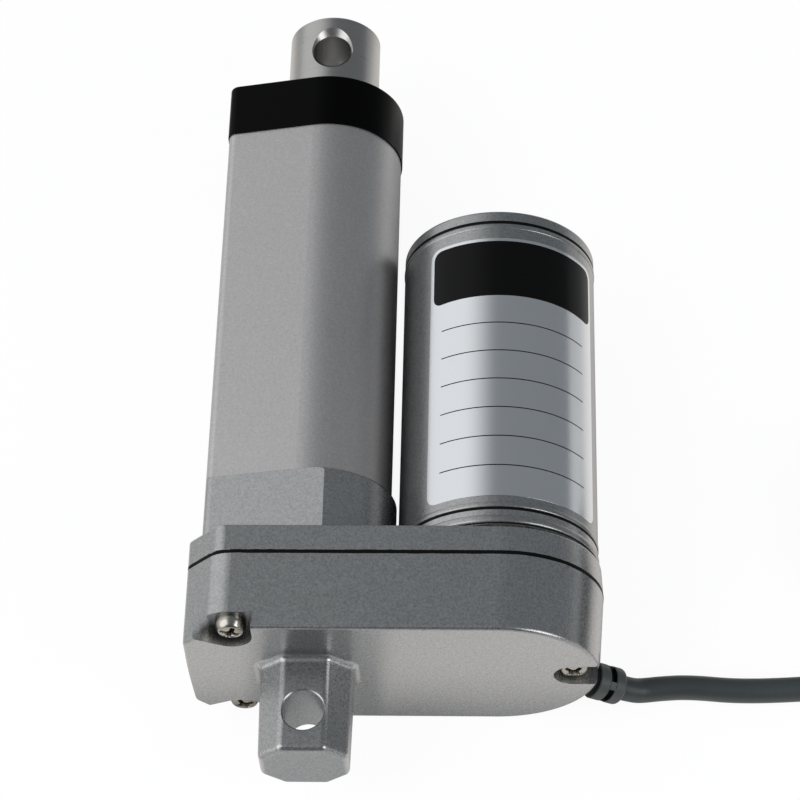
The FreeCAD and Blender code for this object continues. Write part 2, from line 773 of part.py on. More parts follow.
def lead_screw():
    screw = bar_y(0, 0, screw_radius, rear_bush_end_y + rear_bush_flange_gap, screw_end_y)
    journal = bar_y(0, 0, screw_journal_radius, screw_start_y + press_gap, screw_gear_start_y)
    shoulder = bar_y(0, 0, screw_shoulder_radius, screw_gear_end_y + gear_hub_width + press_gap,
                     bearing_start_y - press_gap)
    stop_start = bearing_end_y + press_gap
    stop = bar_y(0, 0, screw_shoulder_radius, stop_start, stop_start + screw_washer_thickness * 2.0)
    point = bar_y(0, 0, screw_tip_radius, screw_end_y, screw_end_y + screw_tip_length)
    return screw.multiFuse([journal, shoulder, stop, point]).removeSplitter()


def screw_end_washer():
    start = screw_end_y + press_gap
    return ring_y(0, 0, screw_washer_radius, screw_tip_radius + press_gap, start,
                  start + screw_washer_thickness)


def screw_rear_bush():
    return ring_y(0, 0, rear_bush_radius, screw_journal_radius + screw_journal_gap,
                  screw_start_y + press_gap, rear_bush_end_y - press_gap)


def bearing_ring(inner, outer):
    """A bearing ring with the groove for its balls on the side of the ball circle."""
    middle_y = bearing_start_y + bearing_width / 2.0
    ring = ring_y(0, 0, outer, inner, bearing_start_y, bearing_end_y)
    return ring.cut(Part.makeTorus(ball_circle, ball_radius + ball_gap, vec(0, middle_y, 0), vec(0, 1, 0)))


def bearing_outer_ring():
    return bearing_ring(bearing_outer_radius - bearing_ring_wall, bearing_outer_radius)


def bearing_inner_ring():
    return bearing_ring(bearing_bore_radius + press_gap, bearing_bore_radius + bearing_ring_wall)


def bearing_balls():
    middle_y = bearing_start_y + bearing_width / 2.0
    balls = []
    for i in range(ball_count):
        angle = 2.0 * math.pi * i / ball_count
        place = vec(ball_circle * math.cos(angle), middle_y, ball_circle * math.sin(angle))
        balls.append(Part.makeSphere(ball_radius, place))
    return Part.makeCompound(balls)


def bearing_circlip():
    start = bearing_end_y + 1.5 * press_gap
    outer = bearing_outer_radius + circlip_bite - 2.0 * press_gap
    ring = ring_y(0, 0, outer, outer - circlip_width, start, start + circlip_thickness)
    mouth = block(-circlip_half_mouth, circlip_half_mouth, start - 1.0, start + circlip_thickness + 1.0,
                  0.0, outer + 1.0)
    return ring.cut(mouth)


# Gears

def involute(angle):
    return math.tan(angle) - angle


def gear_prism(x, module, teeth, shift, phase, y0, y1):
    """A spur gear about the Y axis through x, with a tooth at the angle phase."""
    pressure = math.radians(pressure_angle_deg)
    pitch = module * teeth / 2.0
    base = pitch * math.cos(pressure)
    tip = pitch + module * (1.0 + shift)
    root = pitch - module * (dedendum_factor - shift)
    start = max(base, root)
    at_pitch = (math.pi / 2.0 + 2.0 * shift * math.tan(pressure)) / teeth - flank_gap / pitch

    def half_angle(radius):
        return at_pitch + involute(pressure) - involute(math.acos(min(1.0, base / radius)))

    def point(radius, angle):
        return vec(x + radius * math.cos(angle), y0, radius * math.sin(angle))

    middle = (start + tip) / 2.0
    step = 2.0 * math.pi / teeth
    edges = []
    for i in range(teeth):
        centre = phase + i * step
        foot, knee, head = half_angle(start), half_angle(middle), half_angle(tip)
        rise = [point(start, centre - foot), point(middle, centre - knee), point(tip, centre - head)]
        fall = [point(tip, centre + head), point(middle, centre + knee), point(start, centre + foot)]
        if root < start:
            edges.append(Part.LineSegment(point(root, centre - foot), rise[0]).toShape())
        edges.append(Part.Arc(*rise).toShape())
        edges.append(Part.Arc(rise[2], point(tip, centre), fall[0]).toShape())
        edges.append(Part.Arc(*fall).toShape())
        if root < start:
            edges.append(Part.LineSegment(fall[2], point(root, centre + foot)).toShape())
        next_foot = centre + step - foot
        edges.append(Part.Arc(point(root, centre + foot), point(root, centre + step / 2.0),
                              point(root, next_foot)).toShape())
    return Part.Face(Part.Wire(edges)).extrude(vec(0, y1 - y0, 0))


def meshing_phase(teeth):
    """Turn a gear so that one of its gaps faces the gear on its left."""
    return math.pi + math.pi / teeth


def screw_gear():
    gear = gear_prism(0, screw_gear_module, screw_gear_teeth, -screw_stage_shift, 0.0,
                      screw_gear_start_y, screw_gear_end_y)
    root = screw_gear_module * (screw_gear_teeth / 2.0 - dedendum_factor - screw_stage_shift)
    rim = root - gear_rim_thickness
    for y0, y1 in ((screw_gear_start_y - 1.0, screw_gear_start_y + gear_web_recess),
                   (screw_gear_end_y - gear_web_recess, screw_gear_end_y + 1.0)):
        gear = gear.cut(ring_y(0, 0, rim, gear_hub_radius, y0, y1))
    gear = gear.fuse(bar_y(0, 0, gear_hub_radius, screw_gear_end_y - 1.0, screw_gear_end_y + gear_hub_width))
    return gear.cut(bar_y(0, 0, screw_radius + press_gap, screw_gear_start_y - 1.0,
                          screw_gear_end_y + gear_hub_width + 1.0)).removeSplitter()


def idler_pinion():
    start = screw_gear_start_y - idler_pinion_overhang
    gear = gear_prism(idler_x, screw_gear_module, idler_pinion_teeth, screw_stage_shift,
                      meshing_phase(idler_pinion_teeth), start, idler_wheel_start_y - press_gap)
    hub = bar_y(idler_x, 0, idler_hub_radius, idler_wheel_start_y - 1.0, idler_wheel_end_y)
    gear = gear.fuse(hub)
    bore_radius = idler_axle_radius + idler_axle_gap
    return gear.cut(bar_y(idler_x, 0, bore_radius, start - 1.0, idler_wheel_end_y + 1.0))


def idler_wheel():
    gear = gear_prism(idler_x, motor_gear_module, idler_wheel_teeth, -motor_stage_shift, 0.0,
                      idler_wheel_start_y, idler_wheel_end_y)
    return gear.cut(bar_y(idler_x, 0, idler_hub_radius + press_gap, idler_wheel_start_y - 1.0,
                          idler_wheel_end_y + 1.0))


def motor_pinion():
    gear = gear_prism(motor_x, motor_gear_module, motor_pinion_teeth, motor_stage_shift,
                      meshing_phase(motor_pinion_teeth), idler_wheel_start_y - motor_pinion_overhang,
                      idler_wheel_end_y + motor_pinion_overhang)
    return gear.cut(bar_y(motor_x, 0, motor_shaft_radius + press_gap, idler_wheel_start_y - 2.0,
                          idler_wheel_end_y + 2.0))


def idler_axle():
    return bar_y(idler_x, 0, idler_axle_radius, cavity_start_y - axle_seat_depth / 2.0 + press_gap,
                 cavity_end_y + axle_seat_depth / 2.0 - press_gap)


# Motor

def motor_cover():
    return ring_y(motor_x, 0, motor_radius, cover_inner_radius, motor_seat_top_y + motor_seal_thickness,
                  motor_cover_end_y)


def motor_end_cap():
    start = motor_cover_end_y + motor_seal_thickness
    cap = bar_y(motor_x, 0, motor_radius, start, motor_cap_end_y)
    cap = cap.makeFillet(motor_cap_edge_radius, edges_at_y(cap, motor_cap_end_y))
    outer = cover_inner_radius - spigot_gap
    spigot = ring_y(motor_x, 0, outer, outer - cap_spigot_wall, motor_cover_end_y - spigot_length, start)
    return cap.fuse(spigot).removeSplitter()


def motor_seals():
    outer = motor_radius - motor_seal_recess
    foot = ring_y(motor_x, 0, outer, can_radius + can_boss_gap, motor_seat_top_y,
                  motor_seat_top_y + motor_seal_thickness)
    head = ring_y(motor_x, 0, outer, cover_inner_radius, motor_cover_end_y,
                  motor_cover_end_y + motor_seal_thickness)
    return Part.makeCompound([foot, head])


def motor_can():
    can = ring_y(motor_x, 0, can_radius, can_inner_radius, gearbox_top_y, can_end_y)
    front = bar_y(motor_x, 0, can_radius, gearbox_top_y + press_gap, gearbox_top_y + can_wall)
    boss = bar_y(motor_x, 0, can_boss_radius, cavity_end_y + can_boss_inset, gearbox_top_y + can_wall)
    can = can.multiFuse([front, boss])
    can = can.cut(bar_y(motor_x, 0, motor_bush_radius + press_gap, cavity_end_y - 1.0, magnet_start_y))
    for z in (-motor_screw_circle, motor_screw_circle):
        can = can.cut(bar_y(motor_x, z, motor_screw_radius + press_gap, gearbox_top_y - 1.0,
                            gearbox_top_y + can_wall + 1.0))
    return can.removeSplitter()


def magnet(angle_deg):
    magnet_end_y = magnet_start_y + magnet_length
    arc = ring_y(motor_x, 0, magnet_radius, magnet_inner_radius, magnet_start_y, magnet_end_y)
    half = math.radians(magnet_span_deg / 2.0)
    middle = math.radians(angle_deg)
    reach = 2.0 * can_radius
    fan = [vec(motor_x, magnet_start_y - 1.0, 0)]
    for turn in (-half, 0.0, half):
        fan.append(vec(motor_x + reach * math.cos(middle + turn), magnet_start_y - 1.0,
                       reach * math.sin(middle + turn)))
    wedge = Part.Face(Part.makePolygon(fan + fan[:1])).extrude(vec(0, magnet_length + 2.0, 0))
    return arc.common(wedge)


def motor_magnets():
    return Part.makeCompound([magnet(90.0), magnet(-90.0)])


def core_slot_bars(radius, y0, y1):
    middle = core_radius_outer - core_slot_mouth - core_slot_radius
    bars = []
    for i in range(core_slots):
        angle = 2.0 * math.pi * i / core_slots
        bars.append(bar_y(motor_x + middle * math.cos(angle), middle * math.sin(angle), radius, y0, y1))
    return bars


def rotor_core():
    core = ring_y(motor_x, 0, core_radius_outer, motor_shaft_radius + press_gap, core_start_y, core_end_y)
    core = core.cut(Part.makeCompound(core_slot_bars(core_slot_radius, core_start_y - 1.0, core_end_y + 1.0)))
    middle = core_radius_outer - core_slot_mouth
    for i in range(core_slots):
        mouth = block(motor_x + middle - 1.0, motor_x + core_radius_outer + 1.0, core_start_y - 1.0,
                      core_end_y + 1.0, -core_mouth_half_width, core_mouth_half_width)
        mouth.rotate(vec(motor_x, 0, 0), vec(0, 1, 0), -360.0 * i / core_slots)
        core = core.cut(mouth)
    return core


def rotor_windings():
    outer = core_radius_outer - core_slot_mouth
    inner = outer - end_turn_wall
    start = core_start_y - end_turn_length
    end = core_end_y + end_turn_length
    turns = core_slot_bars(core_slot_radius - press_gap, start + 1.0, end - 1.0)
    for y0, y1 in ((start, core_start_y - press_gap), (core_end_y + press_gap, end)):
        ring = ring_y(motor_x, 0, outer, inner, y0, y1)
        turns.append(ring)
    return turns[0].multiFuse(turns[1:]).removeSplitter()


def commutator():
    return ring_y(motor_x, 0, commutator_radius, motor_shaft_radius + press_gap, commutator_start_y,
                  commutator_start_y + commutator_length)


def motor_shaft():
    return bar_y(motor_x, 0, motor_shaft_radius, idler_wheel_start_y - motor_pinion_overhang,
                 motor_shaft_end_y)


def motor_bushes():
    inner = motor_shaft_radius + screw_journal_gap
    front_start = cavity_end_y + motor_bush_inset
    rear_end = motor_shaft_end_y
    front = ring_y(motor_x, 0, motor_bush_radius, inner, front_start, front_start + motor_bush_length)
    rear = ring_y(motor_x, 0, motor_bush_radius, inner, rear_end - motor_bush_length, rear_end)
    return Part.makeCompound([front, rear])


def motor_brush_cap():
    end_y = can_end_y + brush_cap_thickness
    cap = bar_y(motor_x, 0, can_radius, can_end_y + press_gap, end_y)
    skirt_y = commutator_start_y - brush_cap_lead
    skirt = ring_y(motor_x, 0, can_inner_radius - press_gap, can_inner_radius - brush_cap_skirt, skirt_y,
                   can_end_y + 1.0)
    cap = cap.fuse(skirt)
    for side in (-1, 1):
        holder = block(motor_x - brush_size, motor_x + brush_size, skirt_y, can_end_y + 1.0,
                       commutator_radius + brush_holder_gap, can_inner_radius - brush_cap_skirt / 2.0)
        if side < 0:
            holder.rotate(vec(motor_x, 0, 0), vec(0, 1, 0), 180)
        cap = cap.fuse(holder)
    guide_end = can_inner_radius - brush_guide_end_wall
    for guide in brush_bars(brush_size + 2.0 * press_gap, brush_guide_start, guide_end):
        cap = cap.cut(guide)
    cap = cap.cut(bar_y(motor_x, 0, motor_bush_radius + press_gap, can_end_y - 1.0,
                        motor_shaft_end_y + press_gap))
    return cap.removeSplitter()


def brush_bars(size, start_gap, end_radius):
    """The two brushes, or the guides that they slide in."""
    middle_y = commutator_start_y + commutator_length / 2.0
    bars = []
    for side in (-1, 1):
        z0 = side * (commutator_radius + start_gap)
        z1 = side * end_radius
        bars.append(block(motor_x - size / 2.0, motor_x + size / 2.0, middle_y - size / 2.0,
                          middle_y + size / 2.0, min(z0, z1), max(z0, z1)))
    return bars


def motor_brushes():
    return Part.makeCompound(brush_bars(brush_size, brush_gap, commutator_radius + brush_gap + brush_length))


def motor_screws():
    solids = []
    for z in (-motor_screw_circle, motor_screw_circle):
        seat_y = cavity_end_y - screw_seat_gap
        head = bar_y(motor_x, z, motor_screw_head_radius, seat_y - motor_screw_head_height, seat_y)
        shank = bar_y(motor_x, z, motor_screw_radius, seat_y, seat_y + motor_screw_length)
        solids.append(head.fuse(shank))
    return Part.makeCompound(solids)


# Limit switches

def limit_switch_board():
    return block(board_x, board_x + board_thickness, collar_top_y + board_margin_y,
                 tube_end_y - board_margin_y, -board_half_width, board_half_width)


def limit_switches():
    """One switch beside the nut's finger at each end of the stroke."""
    z0 = nut_finger_half_width + switch_finger_gap
    solids = []
    for travel in (0.0, stroke):
        middle_y = nut_start_y + nut_finger_inset + nut_finger_length / 2.0 + travel
        body = block(switch_x, switch_x + switch_height, middle_y - switch_length / 2.0,
                     middle_y + switch_length / 2.0, z0, z0 + switch_width)
        foot = vec(switch_x + switch_height / 2.0, middle_y, z0)
        button = Part.makeCylinder(switch_button_radius, switch_button_height, foot, vec(0, 0, -1))
        solids.append(body.fuse(button))
    return Part.makeCompound(solids)


# Cable, gland and coil

def gland_stations():
    """Distances from the motor's axis to the gland's steps, from inside to outside."""
    surface = gearbox_half - gland_surface_sink
    ring_1 = surface + gland_standoff
    neck = ring_1 + gland_first_ring
    ring_2 = neck + gland_slot_length
    end = ring_2 + gland_second_ring
    return surface, ring_1, neck, ring_2, end


def cable_gland():
    surface, ring_1, neck, ring_2, end = gland_stations()
    body = gland_bar(gland_hole_radius - gland_hole_gap, gland_inner_reach, ring_1 + gland_body_overlap)
    first = gland_bar(gland_collar_radius, ring_1, neck)
    second = gland_bar(gland_collar_radius, ring_2, end)
    rims = [edge for edge in second.Edges if edge.Length > gland_collar_radius * 6.0]
    second = second.makeFillet(gland_ring_radius, rims)
    spine = gland_bar(gland_neck_radius, ring_1, end)
    body = body.multiFuse([first, second, spine])
    for side in (-1, 1):
        rib = block(-gland_rib_half_width, gland_rib_half_width, -gland_collar_radius, gland_collar_radius,
                    0.0, gland_slot_length + 2.0 * gland_rib_overlap)
        rib.rotate(vec(0, 0, 0), vec(0, 0, 1), 45.0 * side)
        turned = FreeCAD.Rotation(vec(0, 0, 1), gland_axis())
        seat = FreeCAD.Placement(gland_point(neck - gland_rib_overlap), turned)
        rib.Placement = seat.multiply(rib.Placement)
        body = body.fuse(rib.common(gland_bar(gland_collar_radius, neck - gland_rib_overlap,
                                              ring_2 + gland_rib_overlap)))
    return body.cut(gland_bar(cable_radius + press_gap, gland_inner_reach - 1.0, end + 1.0)).removeSplitter()


def cable_inner_end():
    return gland_bar(cable_radius, cable_inner_reach, gland_stations()[4] - press_gap)


def cable_route():
    """Corners of the free cable's path from the gland to the coil."""
    start = gland_point(gland_stations()[4])
    drop = start.z - cable_z
    first = start + gland_axis() * (drop * cable_drop_share / math.sin(gland_angle))
    return [
        start,
        first,
    ] + [
        vec(first.x + along * cable_radius, gland_y + across * cable_radius, cable_z)
        for along, across in cable_lie_radii
    ] + [
        vec(coil_centre_x, coil_start_y, cable_z),
    ]


def tube_along(points, radius):
    """A round tube along straight runs with a tangent arc at each corner."""
    edges = []
    here = points[0]
    radii = []
    for i in range(1, len(points) - 1):
        before, corner, after = points[i - 1], points[i], points[i + 1]
        into = (corner - before).normalize()
        out = (after - corner).normalize()
        half_turn = into.getAngle(out) / 2.0
        shorter = min(corner.distanceToPoint(before), after.distanceToPoint(corner))
        bend = 0.45 * shorter / math.tan(half_turn)
        reach = bend * math.tan(half_turn)
        start = corner - into * reach
        end = corner + out * reach
        middle = corner + (out - into).normalize() * (bend / math.cos(half_turn) - bend)
        edges.append(Part.LineSegment(here, start).toShape())
        edges.append(Part.Arc(start, middle, end).toShape())
        here = end
        radii.append(round(bend, 1))
    edges.append(Part.LineSegment(here, points[-1]).toShape())
    path = Part.Wire(edges)
    direction = (points[1] - points[0]).normalize()
    profile = Part.Wire([Part.Circle(points[0], direction, radius).toShape()])
    tube = path.makePipeShell([profile], True, True)
    print("cable bend radii:", radii)
    print("cable length:", round(path.Length, 2), "tube volume / (section x length):",
          round(tube.Volume / (math.pi * radius * radius * path.Length), 5))
    return tube


def power_cable():
    return tube_along(cable_route(), cable_radius)


def coil_centre():
    return vec(coil_centre_x, coil_start_y + coil_outer_turn, 0)


def cable_coil():
    """Outer shape of the wound turns: two layers two turns wide, and one turn on top."""
    centre = coil_centre()
    outer = coil_outer_turn + cable_radius
    inner = coil_inner_turn - cable_radius
    low = table_z
    top = table_z + 4.0 * cable_radius
    ridge_top = top + 2.0 * cable_radius * (1.0 - coil_ridge_sink / 2.0)
    corner = coil_corner_share * cable_radius

    def section(x0, x1, z0, z1, degrees):
        corners = [(x1, z1, corner), (x1, z0, corner), (x0, z0, corner), (x0, z1, corner)]
        wire = outline_wire(corners, 0.0)
        wire.translate(vec(centre.x, centre.y, 0))
        return Part.Face(wire).revolve(vec(centre.x, centre.y, 0), vec(0, 0, 1), degrees)

    base = section(inner, outer, low, top, 360)
    ridge = section(coil_middle_turn - cable_radius, coil_middle_turn + cable_radius, top - corner,
                    ridge_top, coil_ridge_span_deg)
    ridge.rotate(vec(centre.x, centre.y, 0), vec(0, 0, 1), coil_ridge_start_deg)
    return base.fuse(ridge).removeSplitter()


def core_arcs(radius, start_deg, span_deg):
    """Two cable cores side by side along the coil's top turn."""
    centre = coil_centre()
    z = table_z + 4.0 * cable_radius + core_radius + press_gap
    solids = []
    for side in (-1, 1):
        turn = coil_middle_turn + side * core_spacing
        circle = Part.Circle(vec(centre.x + turn, centre.y, z), vec(0, 1, 0), radius).toShape()
        arc = Part.Face(Part.Wire([circle])).revolve(vec(centre.x, centre.y, 0), vec(0, 0, 1), span_deg)
        arc.rotate(vec(centre.x, centre.y, 0), vec(0, 0, 1), start_deg)
        solids.append(arc)
    return Part.makeCompound(solids)


def cable_cores():
    return core_arcs(core_radius, coil_ridge_end_deg, core_span_deg)


def core_tips():
    return core_arcs(core_tip_radius, coil_ridge_end_deg + core_span_deg, core_tip_span_deg)


nodes = [
    rear_housing, housing_gasket, front_housing, housing_screws,
    outer_tube, front_cap, rod_guide_bush, rod_wiper,
    extension_rod, drive_nut, nut_pins,
    lead_screw, screw_end_washer, screw_rear_bush,
    bearing_outer_ring, bearing_inner_ring, bearing_balls, bearing_circlip,
    screw_gear, idler_pinion, idler_wheel, idler_axle, motor_pinion,
    motor_cover, motor_end_cap, motor_seals, motor_can, motor_magnets,
    rotor_core, rotor_windings, commutator, motor_shaft, motor_bushes,
    motor_brush_cap, motor_brushes, motor_screws,
    limit_switch_board, limit_switches,
    cable_gland, cable_inner_end, power_cable, cable_coil, cable_cores, core_tips,
]

os.makedirs("parts", exist_ok=True)
for make in nodes:
    shape = make()
    shape.exportStep("parts/" + make.__name__ + ".step")
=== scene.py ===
import json
import math

import bmesh
import bpy
from mathutils import Euler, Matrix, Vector, noise


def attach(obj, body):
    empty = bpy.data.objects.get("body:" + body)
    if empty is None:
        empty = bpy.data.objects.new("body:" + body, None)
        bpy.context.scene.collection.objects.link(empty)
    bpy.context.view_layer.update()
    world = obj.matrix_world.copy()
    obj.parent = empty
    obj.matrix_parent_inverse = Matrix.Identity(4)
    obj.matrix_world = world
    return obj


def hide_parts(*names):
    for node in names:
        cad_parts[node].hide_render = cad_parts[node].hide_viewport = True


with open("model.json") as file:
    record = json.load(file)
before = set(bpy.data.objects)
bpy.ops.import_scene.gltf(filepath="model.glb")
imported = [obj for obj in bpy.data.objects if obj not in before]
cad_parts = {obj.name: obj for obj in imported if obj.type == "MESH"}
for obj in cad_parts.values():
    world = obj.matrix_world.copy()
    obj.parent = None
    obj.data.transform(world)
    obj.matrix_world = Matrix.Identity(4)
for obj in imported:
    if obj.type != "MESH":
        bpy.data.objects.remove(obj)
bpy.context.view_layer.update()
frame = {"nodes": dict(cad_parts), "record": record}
nodes = frame["nodes"]

MM = 0.001

# Places and sizes that the pieces share with the solids, in millimetres

table_z = -20.3
motor_x = 37.0
motor_radius = 20.0
parting_y = 27.7
gland_angle = math.radians(32.0)
gland_y = 15.9
gland_end_reach = 28.5
cable_radius = 2.5
rear_face_y = 11.3
pocket_floor_y = 14.6
left_screw_x = -13.9
left_screw_z = 16.3
left_pocket_radius = 4.2
right_screw_x = 51.9
right_pocket_radius = 3.9


def metres(points):
    """Points in millimetres as plain tuples in metres."""
    return [tuple(v * MM for v in p) for p in points]


def add_to_scene(name, data):
    """An object that holds the data, linked to the scene."""
    added = bpy.data.objects.new(name, data)
    bpy.context.scene.collection.objects.link(added)
    return added


# Camera

camera_place = (0.03977, -0.21036, 0.47495)
camera_turn_deg = (30.9114, 2.0058, 1.3246)

camera_data = bpy.data.cameras.new("camera")
camera_data.sensor_width = 36.0
camera_data.lens = 120.26
camera_data.clip_start = 0.01
camera = add_to_scene("camera", camera_data)
camera.location = camera_place
camera.rotation_euler = Euler([math.radians(a) for a in camera_turn_deg])
bpy.context.scene.camera = camera
bpy.context.scene.view_settings.view_transform = "Standard"


# Cable, whose far part lies in a coil of four and a half turns in three layers

cable_drop_share = 0.66
cable_lie = [(2.3, 0.45), (5.6, 0.9), (11.6, 1.3), (22.0, 0.3), (38.0, 1.2)]
cable_lead_in_x = 55.0
coil_centre_x = 137.0
coil_start_y = 19.2
coil_inner_turn = 26.0
coil_outer_turn = 31.0
coil_step_deg = 18
coil_turns_deg = 1644
move_in_deg = (300, 360)
climb_deg = (630, 690)
upper_turns_from_deg = 900
move_out_deg = (960, 1010)
top_turn_from_deg = 1200
climb_again_deg = (1270, 1320)
top_turn_rise = 1.87
corner_swell = 0.75


def cable_points():
    """The route from the gland along the table, then the coil's turns."""
    cable_z = table_z + cable_radius
    reach_x = math.cos(gland_angle)
    drop = -math.sin(gland_angle)
    start = (motor_x + gland_end_reach * reach_x, gland_y, gland_end_reach * drop)
    along = (start[2] - cable_z) * cable_drop_share / math.sin(gland_angle)
    first = (start[0] + along * reach_x, gland_y, start[2] + along * drop)
    points = [start, first]
    points += [(first[0] + x, gland_y + y, cable_z) for x, y in cable_lie]
    points += [(first[0] + cable_lead_in_x, coil_start_y, cable_z), (coil_centre_x, coil_start_y, cable_z)]
    return points + coil_points(cable_z)


def between(value, low, high, start, end):
    """Move smoothly from start to end while value goes from low to high."""
    t = min(1.0, max(0.0, (value - low) / (high - low)))
    return start + (end - start) * t * t * (3.0 - 2.0 * t)


def coil_points(cable_z):
    """Points round the coil, which moves in, climbs, moves out and climbs again."""
    layer = 2.0 * cable_radius
    middle_turn = (coil_inner_turn + coil_outer_turn) / 2.0
    centre_y = coil_start_y + coil_outer_turn
    points = []
    for degrees in [*range(coil_step_deg, coil_turns_deg, coil_step_deg), coil_turns_deg]:
        radius = between(degrees, *move_in_deg, coil_outer_turn, coil_inner_turn)
        rise = between(degrees, *climb_deg, 0.0, layer)
        if degrees > upper_turns_from_deg:
            radius = between(degrees, *move_out_deg, coil_inner_turn, coil_outer_turn)
        if degrees > top_turn_from_deg:
            radius = between(degrees, *climb_again_deg, coil_outer_turn, middle_turn)
            rise = between(degrees, *climb_again_deg, layer, layer * top_turn_rise)
        angle = math.radians(degrees - 90.0)
        swell = 1.0 / math.cos(math.radians(coil_step_deg / 2.0)) ** corner_swell
        points.append((coil_centre_x + radius * swell * math.cos(angle),
                       centre_y + radius * swell * math.sin(angle), cable_z + rise))
    return points


def smooth_cord(name, points, radius):
    """A round tube along a NURBS curve. Its points hold the radius, for true bounds."""
    curve = bpy.data.curves.new(name, "CURVE")
    curve.dimensions = "3D"
    spline = curve.splines.new("NURBS")
    spline.points.add(len(points) - 1)
    for point, spot in zip(spline.points, metres(points)):
        point.co = (*spot, 1.0)
        point.radius = radius * MM
    spline.order_u = 3
    spline.use_endpoint_u = True
    spline.resolution_u = 8
    curve.bevel_depth = 1.0
    curve.bevel_resolution = 8
    curve.use_fill_caps = True
    return add_to_scene(name, curve)


route = cable_points()
cable = smooth_cord("cable", route, cable_radius)
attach(cable, "actuator")
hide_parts("power_cable", "cable_coil")
metres(route)[0]


# Shader nodes

class Wire:
    """A shader socket or a number that takes part in sums, and makes any node."""

    tree = None

    def __init__(self, socket):
        self.socket = socket

    @classmethod
    def node(cls, kind, settings=None, output=0, **inputs):
        """Add a node. Its sockets go by name, or by number as i0, i1 and so on."""
        made = cls.tree.nodes.new(kind)
        for key, value in (settings or {}).items():
            setattr(made, key, value)
        for key, value in inputs.items():
            by_number = key[0] == "i" and key[1:].isdigit()
            cls.connect(made.inputs[int(key[1:]) if by_number else key], value)
        return cls(made.outputs[output])

    @classmethod
    def connect(cls, target, value):
        """Link a wire to a socket, or set the socket to a plain value."""
        if isinstance(value, Wire):
            cls.tree.links.new(value.socket, target)
        else:
            target.default_value = value

    def maths(self, operation, other=0.0, third=0.0):
        return Wire.node("ShaderNodeMath", {"operation": operation}, i0=self, i1=other, i2=third)

    def __add__(self, other):
        return self.maths("ADD", other)

    __radd__ = __add__

    def __mul__(self, other):
        return self.maths("MULTIPLY", other)

    __rmul__ = __mul__

    def __sub__(self, other):
        return self.maths("SUBTRACT", other)

    def __rsub__(self, other):
        return self.maths("MULTIPLY_ADD", -1.0, other)

    def __truediv__(self, other):
        return self.maths("DIVIDE", other)

    def step(self, low, high, start=0.0, end=1.0):
        """Move smoothly from start to end while this value goes from low to high."""
        return Wire.node("ShaderNodeMapRange", {"interpolation_type": "SMOOTHSTEP"},
                         i0=self, i1=low, i2=high, i3=start, i4=end)

    def step_mm(self, low, high, start=0.0, end=1.0):
        """The same step between two places in millimetres."""
        return self.step(low * MM, high * MM, start, end)

    def mix(self, first, second):
        """Use this value as the factor between two colours."""
        return Wire.node("ShaderNodeMix", {"data_type": "RGBA"}, 2, i0=self, i6=first, i7=second)

    def axis(self, index):
        """One of the three parts of a direction or place."""
        return Wire(Wire.node("ShaderNodeSeparateXYZ", i0=self).socket.node.outputs[index])


# Limits that hold more or less of what a noise gives

noise_wide = (0.2, 0.8)
noise_usual = (0.25, 0.75)
noise_tight = (0.3, 0.7)


def place():
    """The place on the object, in metres."""
    return Wire.node("ShaderNodeTexCoord", output=3)


def noise_at(scale, detail=2.0, roughness=0.5, where=None):
    """Noise from 0 to 1 over the object, or over other places when they are given."""
    return Wire.node("ShaderNodeTexNoise", i0=where or place(), Scale=scale, Detail=detail,
                     Roughness=roughness)


def tint(colour, strength=1.0):
    """A colour with its alpha, made darker or brighter by a factor."""
    return (*[min(1.0, c * strength) for c in colour], 1.0)


def material(name, colour, roughness, metallic=0.0, **sockets):
    """A surface whose constant values sit on the shader's own sockets."""
    made = bpy.data.materials.new(name)
    made.use_nodes = True
    Wire.tree = made.node_tree
    shader = made.node_tree.nodes["Principled BSDF"]
    shader.inputs["Base Color"].default_value = tint(colour)
    shader.inputs["Roughness"].default_value = roughness
    shader.inputs["Metallic"].default_value = metallic
    for key, value in sockets.items():
        shader.inputs[key.replace("_", " ")].default_value = value
    made.diffuse_color = tint(colour)
    return made, shader


def bump(shader, height, strength, distance):
    """Small unevenness, with its depth in metres."""
    made = Wire.node("ShaderNodeBump", Height=height, Strength=strength, Distance=distance)
    Wire.connect(shader.inputs["Normal"], made)


def painted_pocket_shade():
    """Painted shade: 1 inside the left pockets, less inside the right one and 0 on the rest of the housing.
    """
    right_share, blend = 0.55, 0.5
    mouth = (rear_face_y + 0.2, rear_face_y + 1.7)
    pocket_floor = (pocket_floor_y + 0.05, pocket_floor_y + 0.15)
    left_wall = (left_screw_z - left_pocket_radius - 0.7, left_screw_z - left_pocket_radius)
    right_wall = (right_screw_x - right_pocket_radius - 0.6, right_screw_x - right_pocket_radius)
    spot = place()
    x, y, z = spot.axis(0), spot.axis(1), spot.axis(2).maths("ABSOLUTE")
    deep = y.step_mm(*mouth) * y.step_mm(*pocket_floor, 1.0, 0.0)
    left = (x - left_screw_x * MM).maths("ABSOLUTE")
    left = left.step_mm(left_pocket_radius, left_pocket_radius + blend, 1.0, 0.0) * z.step_mm(*left_wall)
    right = z.step_mm(right_pocket_radius, right_pocket_radius + blend, right_share, 0.0)
    right = right * x.step_mm(*right_wall)
    return deep * left.maths("MAXIMUM", right)


